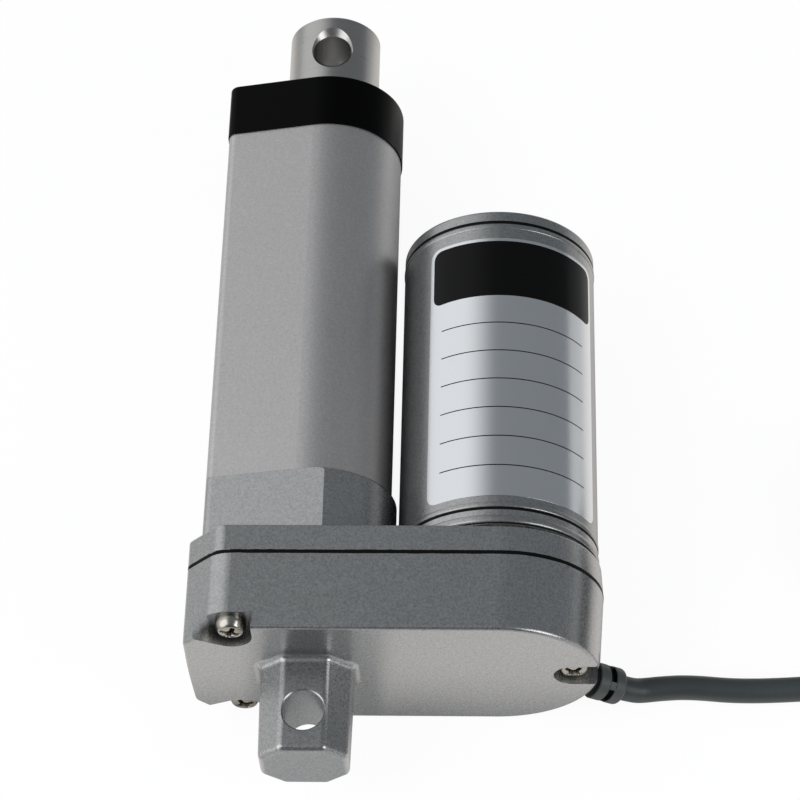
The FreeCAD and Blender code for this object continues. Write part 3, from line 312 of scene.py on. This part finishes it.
def paint(name, colour, roughness, metallic, flake=0.17, pockets=False):
    """Silver metallic paint: fine flake, a slow change of tone and a soft grain. With pockets set, shade is
    painted into the screw pockets.
    """
    coarse_share, slow_share, spread = 0.45, 0.02, 0.05
    dark, light = 0.5, 1.5
    made, shader = material(name, colour, roughness, metallic)
    fine = noise_at(scale=2400.0, detail=3.0, roughness=0.7)
    coarse = noise_at(scale=1500.0)
    slow = noise_at(scale=25.0, detail=3.0)
    shade = fine.step(*noise_usual, -1.0, 1.0) * flake
    shade = shade + coarse.step(*noise_wide, -1.0, 1.0) * (flake * coarse_share)
    shade = shade + slow.step(*noise_wide, -1.0, 1.0) * slow_share + 0.5
    if pockets:
        # Painted shade: the colour darkens deep in the pockets round the screw heads.
        shade = shade * (1.0 - painted_pocket_shade())
    Wire.connect(shader.inputs["Base Color"], shade.mix(tint(colour, dark), tint(colour, light)))
    Wire.connect(shader.inputs["Roughness"], fine.step(*noise_wide, roughness - spread, roughness + spread))
    bump(shader, coarse, strength=0.15, distance=0.03 * MM)
    return made


def plain(name, colour, roughness, metallic=0.0, grain=900.0, depth=0.05, **sockets):
    """A surface with a slight change of tone and roughness over it."""
    slow_share, fine_share, spread, smoothest = 0.6, 0.4, 0.05, 0.02
    made, shader = material(name, colour, roughness, metallic, **sockets)
    fine = noise_at(scale=grain, detail=3.0)
    slow = noise_at(scale=60.0)
    tone = slow.step(*noise_usual) * slow_share + fine.step(*noise_tight) * fine_share
    Wire.connect(shader.inputs["Base Color"], tone.mix(tint(colour, 1 - depth), tint(colour, 1 + depth)))
    Wire.connect(shader.inputs["Roughness"], slow.step(*noise_usual, max(smoothest, roughness - spread),
                                                       roughness + spread))
    bump(shader, fine, strength=0.12, distance=0.03 * MM)
    return made


def drawn(name, colour, roughness, directions, streak=0.10):
    """Metal with fine lines along one axis, or around the third one when two are given."""
    line_stretch, line_share, slow_share, middle = 0.02, 0.10, 0.08, 0.09
    made, shader = material(name, colour, roughness, 1.0)
    scale = [line_stretch if index in directions else 1.0 for index in range(3)]
    stretched = Wire.node("ShaderNodeMapping", i0=place(), i3=scale)
    lines = noise_at(scale=2200.0, detail=3.0, where=stretched)
    slow = noise_at(scale=50.0)
    Wire.connect(shader.inputs["Base Color"],
                 lines.step(*noise_tight).mix(tint(colour, 1 - streak), tint(colour, 1 + streak)))
    unevenness = lines * line_share + slow * slow_share
    Wire.connect(shader.inputs["Roughness"], unevenness + (roughness - middle))
    bump(shader, lines, strength=0.15, distance=0.04 * MM)
    return made


finishes = {
    "housing": paint("silver_housing", (0.42, 0.425, 0.425), 0.29, 0.92, pockets=True),
    "motor_paint": paint("silver_motor", (0.37, 0.375, 0.375), 0.31, 0.92),
    "tube": paint("silver_tube", (0.53, 0.519, 0.518), 0.42, 0.80, flake=0.10),
    "rod": drawn("rod_metal", (0.445, 0.44, 0.425), 0.30, (0, 2), streak=0.03),
    "black_plastic": plain("black_plastic", (0.002, 0.002, 0.002), 0.26, grain=2500.0,
                           Specular_IOR_Level=0.05),
    "black_rubber": plain("black_rubber", (0.004, 0.004, 0.004), 0.55, Specular_IOR_Level=0.10),
    "screw_steel": plain("nickel", (0.42, 0.40, 0.36), 0.25, 1.0),
    # Near-black steel, painted shade in the cross recesses of the screw heads.
    "screw_recess_shade": plain("screw_recess_shade", (0.03, 0.026, 0.022), 0.55, 0.3),
    "steel": drawn("bright_steel", (0.55, 0.55, 0.55), 0.30, (0, 2)),
    "white_plastic": plain("white_plastic", (0.78, 0.76, 0.70), 0.40),
    "bronze": plain("bronze", (0.60, 0.38, 0.18), 0.38, 1.0),
    "copper": drawn("copper", (0.80, 0.36, 0.20), 0.30, (1,)),
    "ferrite": plain("ferrite", (0.04, 0.04, 0.045), 0.60),
    "carbon": plain("carbon", (0.03, 0.03, 0.03), 0.50),
    "board": plain("board_green", (0.02, 0.14, 0.05), 0.35),
    "cable_grey": plain("cable_grey", (0.048, 0.058, 0.060), 0.45, grain=1500.0, depth=0.08),
    "gland_grey": plain("gland_grey", (0.075, 0.086, 0.083), 0.45, grain=1500.0, depth=0.08),
    "gland_shadow": plain("gland_shadow", (0.010, 0.012, 0.011), 0.60, Specular_IOR_Level=0.10),
    "core_sheath": plain("core_sheath", (0.05, 0.05, 0.22), 0.40),
}

slots = {s["node"]: s["material_slot"] for s in frame["record"]["subparts"]}
for name, node in nodes.items():
    node.data.materials.clear()
    node.data.materials.append(finishes[slots[name]])
cable.data.materials.append(finishes["cable_grey"])


# Meshes from points

crease_angle = math.radians(35.0)


def merge_doubles(source, target, reach):
    """Write a mesh to another one, or to itself, with the points that meet merged."""
    work = bmesh.new()
    work.from_mesh(source)
    bmesh.ops.remove_doubles(work, verts=work.verts, dist=reach * MM)
    work.to_mesh(target)
    work.free()


def skin(rows, across, ring=False, turned=False):
    """Faces between neighbouring rows of points, where each row is a closed loop."""
    faces = []
    for row in range(rows if ring else rows - 1):
        a, b = row * across, (row + 1) % rows * across
        for k in range(across):
            n = (k + 1) % across
            faces.append((a + k, b + k, b + n, a + n) if turned else (a + k, a + n, b + n, b + k))
    return faces


def mesh_piece(name, verts, faces, finish, body):
    """A mesh that is smooth apart from its creases and rides a body, if one is given."""
    data = bpy.data.meshes.new(name)
    data.from_pydata(metres(verts), [], faces)
    data.update()
    data.materials.append(finish)
    data.polygons.foreach_set("use_smooth", [True] * len(data.polygons))
    data.set_sharp_from_angle(angle=crease_angle)
    piece = add_to_scene(name, data)
    if body:
        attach(piece, body)
    return piece


def sheet_on_motor(name, angles, length, corner, low, high, finish):
    """A thin closed patch round the motor cover, with rounded corners."""
    start, end = [math.radians(a) for a in angles]
    y0, y1 = length
    count = 64
    corner_shares = (0.03, 0.1, 0.2, 0.35, 0.55, 0.8)
    width = (end - start) * motor_radius
    columns = sorted(set([i / count for i in range(count + 1)]
                         + [share * corner / width for share in corner_shares]
                         + [1 - share * corner / width for share in corner_shares]))
    verts = []
    for share in columns:
        angle = start + (end - start) * share
        edge = min(share, 1 - share) * width
        trim = 0.0
        if edge < corner:
            trim = corner - math.sqrt(corner ** 2 - (corner - edge) ** 2)
        for radius in (low, high):
            x = motor_x + radius * math.sin(angle)
            z = radius * math.cos(angle)
            verts += [(x, y0 + trim, z), (x, y1 - trim, z)]
    steps = [(4 * i, 4 * i + 4) for i in range(len(columns) - 1)]
    outside = [(a + 2, b + 2, b + 3, a + 3) for a, b in steps]
    last = 4 * (len(columns) - 1)
    rest = [(0, 2, 3, 1), (last, last + 1, last + 3, last + 2)]
    for a, b in steps:
        rest += [(a, a + 1, b + 1, b), (a, b, b + 2, a + 2), (a + 1, a + 3, b + 3, b + 1)]
    return mesh_piece(name, verts, outside + rest, finish, "actuator")


# Rod end, whose cross hole has a wide countersink on both sides

rod_hole_y = 158.4
rod_hole_radius = 4.1
rod_radius = 10.0
countersink = 1.4


def shade_rod(mesh):
    """Round shading on the rod and in its hole, flat shading elsewhere."""
    near = 0.02
    normals = [Vector()] * len(mesh.loops)
    for face in mesh.polygons:
        corners = [mesh.vertices[i].co / MM for i in face.vertices]
        outward = [Vector((c.x, 0.0, c.z)) for c in corners]
        inward = [Vector((-c.x, rod_hole_y - c.y, 0.0)) for c in corners]
        chosen = [face.normal] * len(corners)
        if all(abs(v.length - rod_radius) < near for v in outward):
            chosen = outward
        elif all(abs(v.length - rod_hole_radius) < near for v in inward):
            chosen = inward
        for i, normal in zip(face.loop_indices, chosen):
            normals[i] = normal.normalized()
    mesh.polygons.foreach_set("use_smooth", [True] * len(mesh.polygons))
    mesh.normals_split_custom_set(normals)


def countersunk_rod():
    """The rod with the mouths of its cross hole widened."""
    reach = 1.0
    wide = rod_hole_radius + countersink + reach
    cutters = []
    for side in (-1, 1):
        bpy.ops.mesh.primitive_cone_add(vertices=128, radius1=wide * MM, radius2=0.0, depth=wide * MM)
        cutter = bpy.context.object
        cutter.location = Vector((0.0, rod_hole_y, side * (rod_radius + reach - wide / 2.0))) * MM
        cutter.rotation_euler = (math.pi if side > 0 else 0.0, 0.0, 0.0)
        cutters.append(cutter)
    plain_rod = bpy.data.meshes.new("rod_body")
    merge_doubles(nodes["extension_rod"].data, plain_rod, 0.001)
    plain_rod.materials.append(finishes["rod"])
    piece = add_to_scene("rod_body", plain_rod)
    for cutter in cutters:
        modifier = piece.modifiers.new("countersink", "BOOLEAN")
        modifier.operation = "DIFFERENCE"
        modifier.solver = "EXACT"
        modifier.object = cutter
    bpy.context.view_layer.update()
    mesh = bpy.data.meshes.new_from_object(piece.evaluated_get(bpy.context.evaluated_depsgraph_get()))
    piece.modifiers.clear()
    piece.data = mesh
    for cutter in cutters:
        bpy.data.objects.remove(cutter)
    shade_rod(mesh)
    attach(piece, "rod")
    return piece


rod_piece = countersunk_rod()
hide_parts("extension_rod")


# Cable gland, with a dark gap at the housing and deep slots behind its end ring

gland_body_radius = 3.2
gland_collar_radius = 3.7
gland_slot_floor = 2.62
gland_collar_start = 22.2
gland_collar_end = 24.6
gland_ring_start = 25.9
gland_ring_round = 0.8
gland_edge = 0.15
rib_angle_deg = -32.0
rib_half_width_deg = 16.0


def slotted_gland():
    """A turned body whose slots lie between four ribs."""
    segments, round_steps, step = 120, 6, 0.02
    axis = Vector((math.cos(gland_angle), 0.0, -math.sin(gland_angle)))
    up = Vector((math.sin(gland_angle), 0.0, math.cos(gland_angle)))
    across = Vector((0.0, 1.0, 0.0))
    root = Vector((motor_x, gland_y, 0.0))
    start = min((v.co / MM - root).dot(axis) for v in nodes["cable_gland"].data.vertices)
    collar, bore = gland_collar_radius, cable_radius + step
    profile = [(start, gland_body_radius), (gland_collar_start, gland_body_radius),
               (gland_collar_start, collar - gland_edge), (gland_collar_start + gland_edge, collar),
               (gland_collar_end - gland_edge, collar), (gland_collar_end, collar - gland_edge),
               (gland_collar_end + step, None), (gland_ring_start - step, None),
               (gland_ring_start, collar - gland_edge), (gland_ring_start + gland_edge, collar)]
    for k in range(round_steps + 1):
        turn = math.pi / 2.0 * k / round_steps
        profile.append((gland_end_reach - gland_ring_round * (1.0 - math.sin(turn)),
                        collar - gland_ring_round * (1.0 - math.cos(turn))))
    profile += [(gland_end_reach, bore), (start, bore)]
    ribs = []
    for k in range(segments):
        off = (360.0 * k / segments - rib_angle_deg + 45.0) % 90.0 - 45.0
        ribs.append(abs(off) < rib_half_width_deg)
    verts = []
    for reach, radius in profile:
        for k in range(segments):
            angle = 2.0 * math.pi * k / segments
            r = radius or (collar - gland_edge / 2.0 if ribs[k] else gland_slot_floor)
            verts.append(root + axis * reach + (up * math.cos(angle) + across * math.sin(angle)) * r)
    dark = []
    for row, (_, radius) in enumerate(profile):
        in_slot = radius is None or profile[(row + 1) % len(profile)][1] is None
        dark += [row == 0 or in_slot and not (rib and following)
                 for rib, following in zip(ribs, ribs[1:] + ribs[:1])]
    faces = skin(len(profile), segments, ring=True, turned=True)
    piece = mesh_piece("slotted_gland", verts, faces, finishes["gland_grey"], "actuator")
    piece.data.materials.append(finishes["gland_shadow"])
    piece.data.polygons.foreach_set("material_index", [int(d) for d in dark])
    return piece


gland = slotted_gland()
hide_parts("cable_gland")


# Lead screw, with its thread cut into the same outer radius

def threaded_screw():
    """The turned screw of the drive, with the steps of its solid and a thread between them."""
    crest, depth, lead, flank = 4.0, 1.0, 2.0, (0.18, 0.32)
    journal, shoulder, point = 3.0, 5.6, 3.2
    rear_y, gear_seat_y, point_y, tip_y = 12.57, 16.35, 122.82, 125.82
    shoulder_ends, stop_ends = (24.62, 34.78), (41.82, 44.22)
    thread_start, thread_end = 45.0, 122.0
    segments, rows_per_turn = 48, 12
    rings = [(rear_y, journal), (gear_seat_y, journal), (gear_seat_y, crest)]
    for near_y, far_y in (shoulder_ends, stop_ends):
        rings += [(near_y, crest), (near_y, shoulder), (far_y, shoulder), (far_y, crest)]
    rows = int((thread_end - thread_start) / lead * rows_per_turn)
    rings += [(thread_start + lead * k / rows_per_turn, None) for k in range(rows + 1)]
    rings += [(point_y, crest), (point_y, point), (tip_y, point)]
    verts = []
    for y, radius in rings:
        for k in range(segments):
            angle = 2.0 * math.pi * k / segments
            r = radius
            if r is None:
                wave = abs((y / lead - k / segments) % 1.0 - 0.5)
                fade = min(1.0, y - thread_start, thread_end - y)
                r = crest - depth * max(0.0, fade) * between(wave, *flank, 1.0, 0.0)
            verts.append((r * math.sin(angle), y, r * math.cos(angle)))
    first_cap = tuple(reversed(range(segments)))
    last_cap = tuple(range(len(verts) - segments, len(verts)))
    faces = [first_cap, *skin(len(rings), segments), last_cap]
    return mesh_piece("threaded_screw", verts, faces, finishes["steel"], "screw")


drive_screw = threaded_screw()
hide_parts("lead_screw")


# Rims and seams round the motor

def motor_ring(name, start, width, rise, finish):
    """A band round the motor with a rounded top, from start along Y."""
    segments, steps, sunk = 160, 8, 0.3
    inner_radius = motor_radius - sunk
    profile = [(start, inner_radius)]
    for k in range(steps + 1):
        turn = math.pi * k / steps
        profile.append((start + width * (1.0 - math.cos(turn)) / 2.0, motor_radius + rise * math.sin(turn)))
    profile.append((start + width, inner_radius))
    verts = []
    for y, radius in profile:
        for k in range(segments):
            angle = 2.0 * math.pi * k / segments
            verts.append((motor_x + radius * math.sin(angle), y, radius * math.cos(angle)))
    return mesh_piece(name, verts, skin(len(profile), segments, ring=True), finish, "actuator")


rims = (("rim_top", 103.1, 1.1, 0.14), ("rim_low", 37.9, 1.0, 0.12), ("rim_seat", 34.5, 1.5, 0.22))
seams = (("seam_top", 104.25, 0.75), ("seam_low", 37.2, 0.65), ("seam_seat", 34.05, 0.4))
seam_rise = 0.04

for name, start, width, rise in rims:
    motor_ring(name, start, width, rise, finishes["motor_paint"])
for name, start, width in seams:
    motor_ring(name, start, width, seam_rise, finishes["black_rubber"])


# Label on the motor cover, a bright foil with a dark band and thin rules

foil, foil_shader = material("foil", (0.76, 0.78, 0.80), 0.20, 0.90)
Wire.connect(foil_shader.inputs["Roughness"], noise_at(scale=40.0).step(*noise_wide, 0.17, 0.23))
bump(foil_shader, noise_at(scale=30.0, detail=1.0), strength=0.04, distance=0.6 * MM)
ink = plain("ink", (0.005, 0.005, 0.005), 0.22, grain=400.0, Specular_IOR_Level=0.10)

foil_low = motor_radius + 0.005
foil_high = motor_radius + 0.07
ink_low = foil_high - 0.01
ink_high = motor_radius + 0.085
label_turn_deg, label_length, label_corner = (-44.0, 70.0), (40.3, 100.6), 2.4
band_turn_deg, band_length, band_corner = (-41.5, 67.5), (86.6, 99.9), 2.0
rule_turn_deg, rule_width, rule_corner = (-35.0, 58.0), 0.22, 0.05
first_rule_y, rule_pitch, rule_count = 80.0, 6.6, 6

label = sheet_on_motor("motor_label", label_turn_deg, label_length, label_corner, foil_low, foil_high, foil)
band = sheet_on_motor("label_band", band_turn_deg, band_length, band_corner, ink_low, ink_high, ink)
for row in range(rule_count):
    rule_y = first_rule_y - rule_pitch * row
    rule = sheet_on_motor("label_rule_%d" % row, rule_turn_deg, (rule_y, rule_y + rule_width), rule_corner,
                          ink_low, ink_high, ink)


# Outline of the gearbox, for the gasket that shows in the parting line

def gearbox_outline():
    """Points and outward directions round the gearbox, at the parting line."""
    spacing, shortest_run = 0.8, 0.001
    right, half, left, left_bow = 57.9, 20.3, -23.65, 250.0
    slant_x, slant_round = -16.85, 6.0
    side_x, side_z, side_round = -23.35, 12.9, 2.0
    corners = [(right, half, half), (right, -half, half), (slant_x, -half, slant_round),
               (side_x, -side_z, side_round), (left, 0.0, left_bow), (side_x, side_z, side_round),
               (slant_x, half, slant_round)]
    bends = []
    for i, (x, z, radius) in enumerate(corners):
        point = Vector((x, z))
        before = Vector(corners[i - 1][:2])
        after = Vector(corners[(i + 1) % len(corners)][:2])
        into = (point - before).normalized()
        out = (after - point).normalized()
        half_turn = into.angle(out) / 2.0
        centre = point + (out - into).normalized() * (radius / math.cos(half_turn))
        first = Vector((into.y, -into.x))
        if first.dot(point - centre) < 0:
            first = -first
        second = Vector((out.y, -out.x))
        if second.dot(point - centre) < 0:
            second = -second
        steps = max(2, int(half_turn * 2 * radius / spacing))
        for k in range(steps + 1):
            direction = first.lerp(second, k / steps).normalized()
            bends.append((centre + direction * radius, direction))
    spaced = []
    for i, (here, direction) in enumerate(bends):
        there, next_direction = bends[(i + 1) % len(bends)]
        run = (there - here).length
        if run < shortest_run:
            continue
        steps = max(1, int(run / spacing))
        for k in range(steps):
            share = k / steps
            spaced.append((here.lerp(there, share), direction.lerp(next_direction, share).normalized()))
    return spaced


def gasket():
    """A pressed gasket whose edge wanders a little in and out of the joint."""
    half_thick, thick_change = 0.40, 0.08
    bulge, bulge_change, edge_lift, depth = 0.06, 0.05, 0.01, 2.5
    slow, quick = 0.35, 1.1
    leftmost, lowest = -23.6, -20.25
    outline = gearbox_outline()
    verts = []
    for here, direction in outline:
        wander = noise.noise(Vector((here.x * slow, here.y * slow, 3.0)))
        swell = noise.noise(Vector((here.x * quick, here.y * quick, 9.0)))
        low = parting_y - half_thick + thick_change * wander
        high = parting_y + half_thick + thick_change * swell
        outer = here + direction * (bulge + bulge_change * swell)
        middle = here + direction * edge_lift
        inner = here - direction * depth
        outer, middle = [Vector((max(p.x, leftmost), max(p.y, lowest))) for p in (outer, middle)]
        verts += [(middle.x, low, middle.y), (outer.x, (low + high) / 2, outer.y),
                  (middle.x, high, middle.y), (inner.x, high, inner.y), (inner.x, low, inner.y)]
    faces = skin(len(outline), len(verts) // len(outline), ring=True, turned=True)
    return mesh_piece("gasket_bead", verts, faces, finishes["black_rubber"], "actuator")


bead = gasket()
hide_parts("housing_gasket")


# Pan head screws, copied to their places by a node tree

def copies_tree(name):
    """Geometry nodes that put a piece on every point and give it a material, and a near-black one as
    painted shade on the faces marked deep.
    """
    tree = bpy.data.node_groups.new(name, "GeometryNodeTree")
    for input_name, kind in (("Points", "NodeSocketGeometry"), ("Piece", "NodeSocketObject"),
                             ("Finish", "NodeSocketMaterial"), ("Deep Finish", "NodeSocketMaterial")):
        tree.interface.new_socket(input_name, in_out="INPUT", socket_type=kind)
    tree.interface.new_socket("Pieces", in_out="OUTPUT", socket_type="NodeSocketGeometry")
    make, link = tree.nodes.new, tree.links.new
    start, end = make("NodeGroupInput"), make("NodeGroupOutput")
    info, spread = make("GeometryNodeObjectInfo"), make("GeometryNodeInstanceOnPoints")
    real = make("GeometryNodeRealizeInstances")
    dress, dress_deep = make("GeometryNodeSetMaterial"), make("GeometryNodeSetMaterial")
    turn, deep = make("GeometryNodeInputNamedAttribute"), make("GeometryNodeInputNamedAttribute")
    turn.data_type, deep.data_type = "FLOAT_VECTOR", "BOOLEAN"
    turn.inputs["Name"].default_value = "turn"
    deep.inputs["Name"].default_value = "deep"
    link(start.outputs["Points"], spread.inputs["Points"])
    link(start.outputs["Piece"], info.inputs["Object"])
    link(info.outputs["Geometry"], spread.inputs["Instance"])
    link(turn.outputs["Attribute"], spread.inputs["Rotation"])
    link(spread.outputs["Instances"], real.inputs["Geometry"])
    link(real.outputs["Geometry"], dress.inputs["Geometry"])
    link(start.outputs["Finish"], dress.inputs["Material"])
    link(dress.outputs["Geometry"], dress_deep.inputs["Geometry"])
    link(deep.outputs["Attribute"], dress_deep.inputs["Selection"])
    link(start.outputs["Deep Finish"], dress_deep.inputs["Material"])
    link(dress_deep.outputs["Geometry"], end.inputs["Pieces"])
    return tree


copies = copies_tree("copies")


def copied(name, piece, spots, finish, recess_shade_finish, body):
    """One mesh of a piece repeated at spots, each (x, y, z, turn about Y in degrees)."""
    values = {"Piece": piece, "Finish": finish, "Deep Finish": recess_shade_finish}
    data = bpy.data.meshes.new(name)
    data.from_pydata(metres([s[:3] for s in spots]), [], [])
    turns = data.attributes.new("turn", "FLOAT_VECTOR", "POINT")
    for item, spot in zip(turns.data, spots):
        item.vector = (0.0, math.radians(spot[3]), 0.0)
    holder = add_to_scene(name, data)
    modifier = holder.modifiers.new("copies", "NODES")
    modifier.node_group = copies
    for item in copies.interface.items_tree:
        if item.in_out == "INPUT" and item.name in values:
            modifier[item.identifier] = values[item.name]
    bpy.context.view_layer.update()
    ready = holder.evaluated_get(bpy.context.evaluated_depsgraph_get())
    mesh = bpy.data.meshes.new_from_object(ready)
    holder.modifiers.clear()
    holder.data = mesh
    mesh.polygons.foreach_set("use_smooth", [True] * len(mesh.polygons))
    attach(holder, body)
    return holder


def pan_top(height, share):
    """Height of a pan head's top at a share of its radius, with its edge rounded off."""
    dome, edge_start, edge_drop, edge_power = 0.16, 0.72, 0.50, 2.2
    edge = max(0.0, (share - edge_start) / (1.0 - edge_start))
    return height * (1.0 - dome * share ** 2 - edge_drop * edge ** edge_power)


def cross_depth(x, z, height, recess):
    """Depth of the cross, whose wings grow narrower and shallower on their way out."""
    half_wing, taper = 0.27, 0.08
    deepest, slope = 0.80, 0.34
    wing_side, wing_end, pit_edge = (0.80, 1.10), (0.90, 1.03), (0.36, 0.52)
    near, far = sorted((abs(x), abs(z)))
    out = far / recess
    width = recess * (half_wing - taper * out)
    wing = between(near / width, *wing_side, 1.0, 0.0) * between(out, *wing_end, 1.0, 0.0)
    pit = between(math.hypot(x, z) / recess, *pit_edge, 1.0, 0.0)
    return height * max((deepest - slope * out) * wing, deepest * pit)


def pan_head(name, radius, height, shank_radius, shank_length, recess):
    """A screw that points along +Y, its seat at the origin and a cross cut in its head."""
    segments, rings = 96, 40
    point_length, dark_from = 0.3, 0.25
    circle = [(math.cos(2 * math.pi * k / segments), math.sin(2 * math.pi * k / segments))
              for k in range(segments)]
    verts = []
    depths = []
    for ring in range(rings + 1):
        share = ring / rings
        for across, up in circle:
            x, z = radius * share * across, radius * share * up
            depth = cross_depth(x, z, height, recess)
            verts.append((x, depth - pan_top(height, share), z))
            depths.append(depth)
    below = [(radius, 0.0), (shank_radius, 0.0), (shank_radius, shank_length),
             (0.0, shank_length + point_length)]
    for r, y in below:
        verts += [(r * across, y, r * up) for across, up in circle]
    faces = skin(rings + 1 + len(below), segments, turned=True)
    screw = mesh_piece(name, verts, faces, finishes["screw_steel"], None)
    # Faces deep in the cross are marked for a near-black finish, painted shade in the recess.
    deep = screw.data.attributes.new("deep", "BOOLEAN", "FACE")
    for item, face in zip(deep.data, faces):
        item.value = all(i < len(depths) and depths[i] > dark_from * height for i in face)
    merge_doubles(screw.data, screw.data, 0.002)
    return screw


seat_y = pocket_floor_y - 0.02
screw_spots = [(left_screw_x, seat_y, left_screw_z, 20.0), (left_screw_x, seat_y, -left_screw_z, 65.0),
               (right_screw_x, seat_y, 0.0, 40.0)]
pattern = pan_head("screw_pattern", radius=3.0, height=2.6, shank_radius=1.45, shank_length=17.4,
                   recess=2.0)
screws = copied("pan_head_screws", pattern, screw_spots, finishes["screw_steel"], finishes["screw_recess_shade"],
                "actuator")
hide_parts("housing_screws")
bpy.data.objects.remove(pattern)


# Floor, which glows white for the camera and dimly in reflections near the object

floor_reach = 4.0
body_middle, body_half = (17.0, 87.0), (41.0, 73.0)
lug_middle, lug_half, lug_blur = (0.0, 3.0), (9.0, 12.0), (6.0, 30.0)
dim_share = 0.12
camera_glow, mirror_glow, glow_strength = 0.88, 0.80, 1.06


def beyond(value, middle, half):
    """How far a place is outside middle plus or minus half, which are in millimetres."""
    return ((value - middle * MM).maths("ABSOLUTE") - half * MM).maths("MAXIMUM", 0.0)


floor_data = bpy.data.meshes.new("floor")
floor_data.from_pydata([(x * floor_reach, y * floor_reach, table_z * MM)
                        for x, y in ((-1, -1), (1, -1), (1, 1), (-1, 1))], [], [(0, 1, 2, 3)])
floor_object = add_to_scene("floor", floor_data)
floor_finish, floor_shader = material("floor", (0.85, 0.85, 0.85), 0.9)
spot = place()
across, along = spot.axis(0), spot.axis(1)
off_x, off_y = [beyond(*limits) for limits in zip((across, along), body_middle, body_half)]
away = (off_x * off_x + off_y * off_y).maths("SQRT")
clear = away.step_mm(0.0, 15.0) * away.step_mm(18.0, 75.0, 1.0, dim_share)
lug_x, lug_y = [beyond(value, middle, half) / (blur * MM)
                for value, middle, half, blur in zip((across, along), lug_middle, lug_half, lug_blur)]
clear = clear * (lug_x * lug_x + lug_y * lug_y).step(0.0, 1.0, dim_share, 1.0)
camera_ray, glossy_ray, passed_ray = [Wire.node("ShaderNodeLightPath", output=k) for k in (0, 3, 6)]
shown = camera_ray.maths("MAXIMUM", passed_ray) * camera_glow + glossy_ray * clear * mirror_glow
glow = camera_ray.mix(tint((1.0, 0.965, 0.93)), tint((1.0, 1.0, 1.0)))
white = Wire.node("ShaderNodeEmission", Color=glow, Strength=glow_strength)
mixed = Wire.node("ShaderNodeMixShader", i0=shown, i1=Wire(floor_shader.outputs[0]), i2=white)
Wire.connect(floor_finish.node_tree.nodes["Material Output"].inputs["Surface"], mixed)
floor_data.materials.append(floor_finish)


# World, bright on the left, grey on the right and darker in front, by the parts of the direction

left_fade = (-0.58, 0.0)
front_fade = (-0.70, -0.20)
front_left_fade = (-0.70, -0.30)
front_right_fade = (0.50, 0.80)

world = bpy.data.worlds.new("studio")
bpy.context.scene.world = world
world.use_nodes = True
Wire.tree = world.node_tree
background = world.node_tree.nodes["Background"]
direction = Wire.node("ShaderNodeTexCoord", output=0)
side, front = direction.axis(0), direction.axis(1)
camera_ray, passed_ray = [Wire.node("ShaderNodeLightPath", output=k) for k in (0, 6)]
studio = side.step(*left_fade).mix(tint((0.92, 0.93, 0.94)), tint((0.195, 0.21, 0.225)))
dim = front.step(*front_fade, 1.0, 0.0) * side.step(*front_left_fade)
dim = dim * side.step(*front_right_fade, 1.0, 0.0)
studio = dim.mix(studio, tint((0.13, 0.13, 0.14)))
seen = camera_ray.maths("MAXIMUM", passed_ray)
Wire.connect(background.inputs["Color"], seen.mix(studio, tint((1.0, 1.0, 1.0))))
background.inputs["Strength"].default_value = 1.0


# Lamps

def softbox(name, place_mm, aim_mm, width, height, watts):
    """A rectangular lamp that points at a place, its width and height in metres."""
    light = bpy.data.lights.new(name, "AREA")
    light.shape = "RECTANGLE"
    light.size, light.size_y = width, height
    light.energy = watts
    holder = add_to_scene(name, light)
    holder.location = Vector(place_mm) * MM
    aim = Vector(aim_mm) * MM - holder.location
    holder.rotation_euler = aim.to_track_quat("-Z", "Y").to_euler()


softbox("left_key", (-520.0, -180.0, 420.0), (10.0, 60.0, 0.0), width=0.50, height=0.80, watts=1.4)
softbox("right_front", (480.0, -220.0, 340.0), (30.0, 30.0, 0.0), width=0.35, height=0.35, watts=1.1)
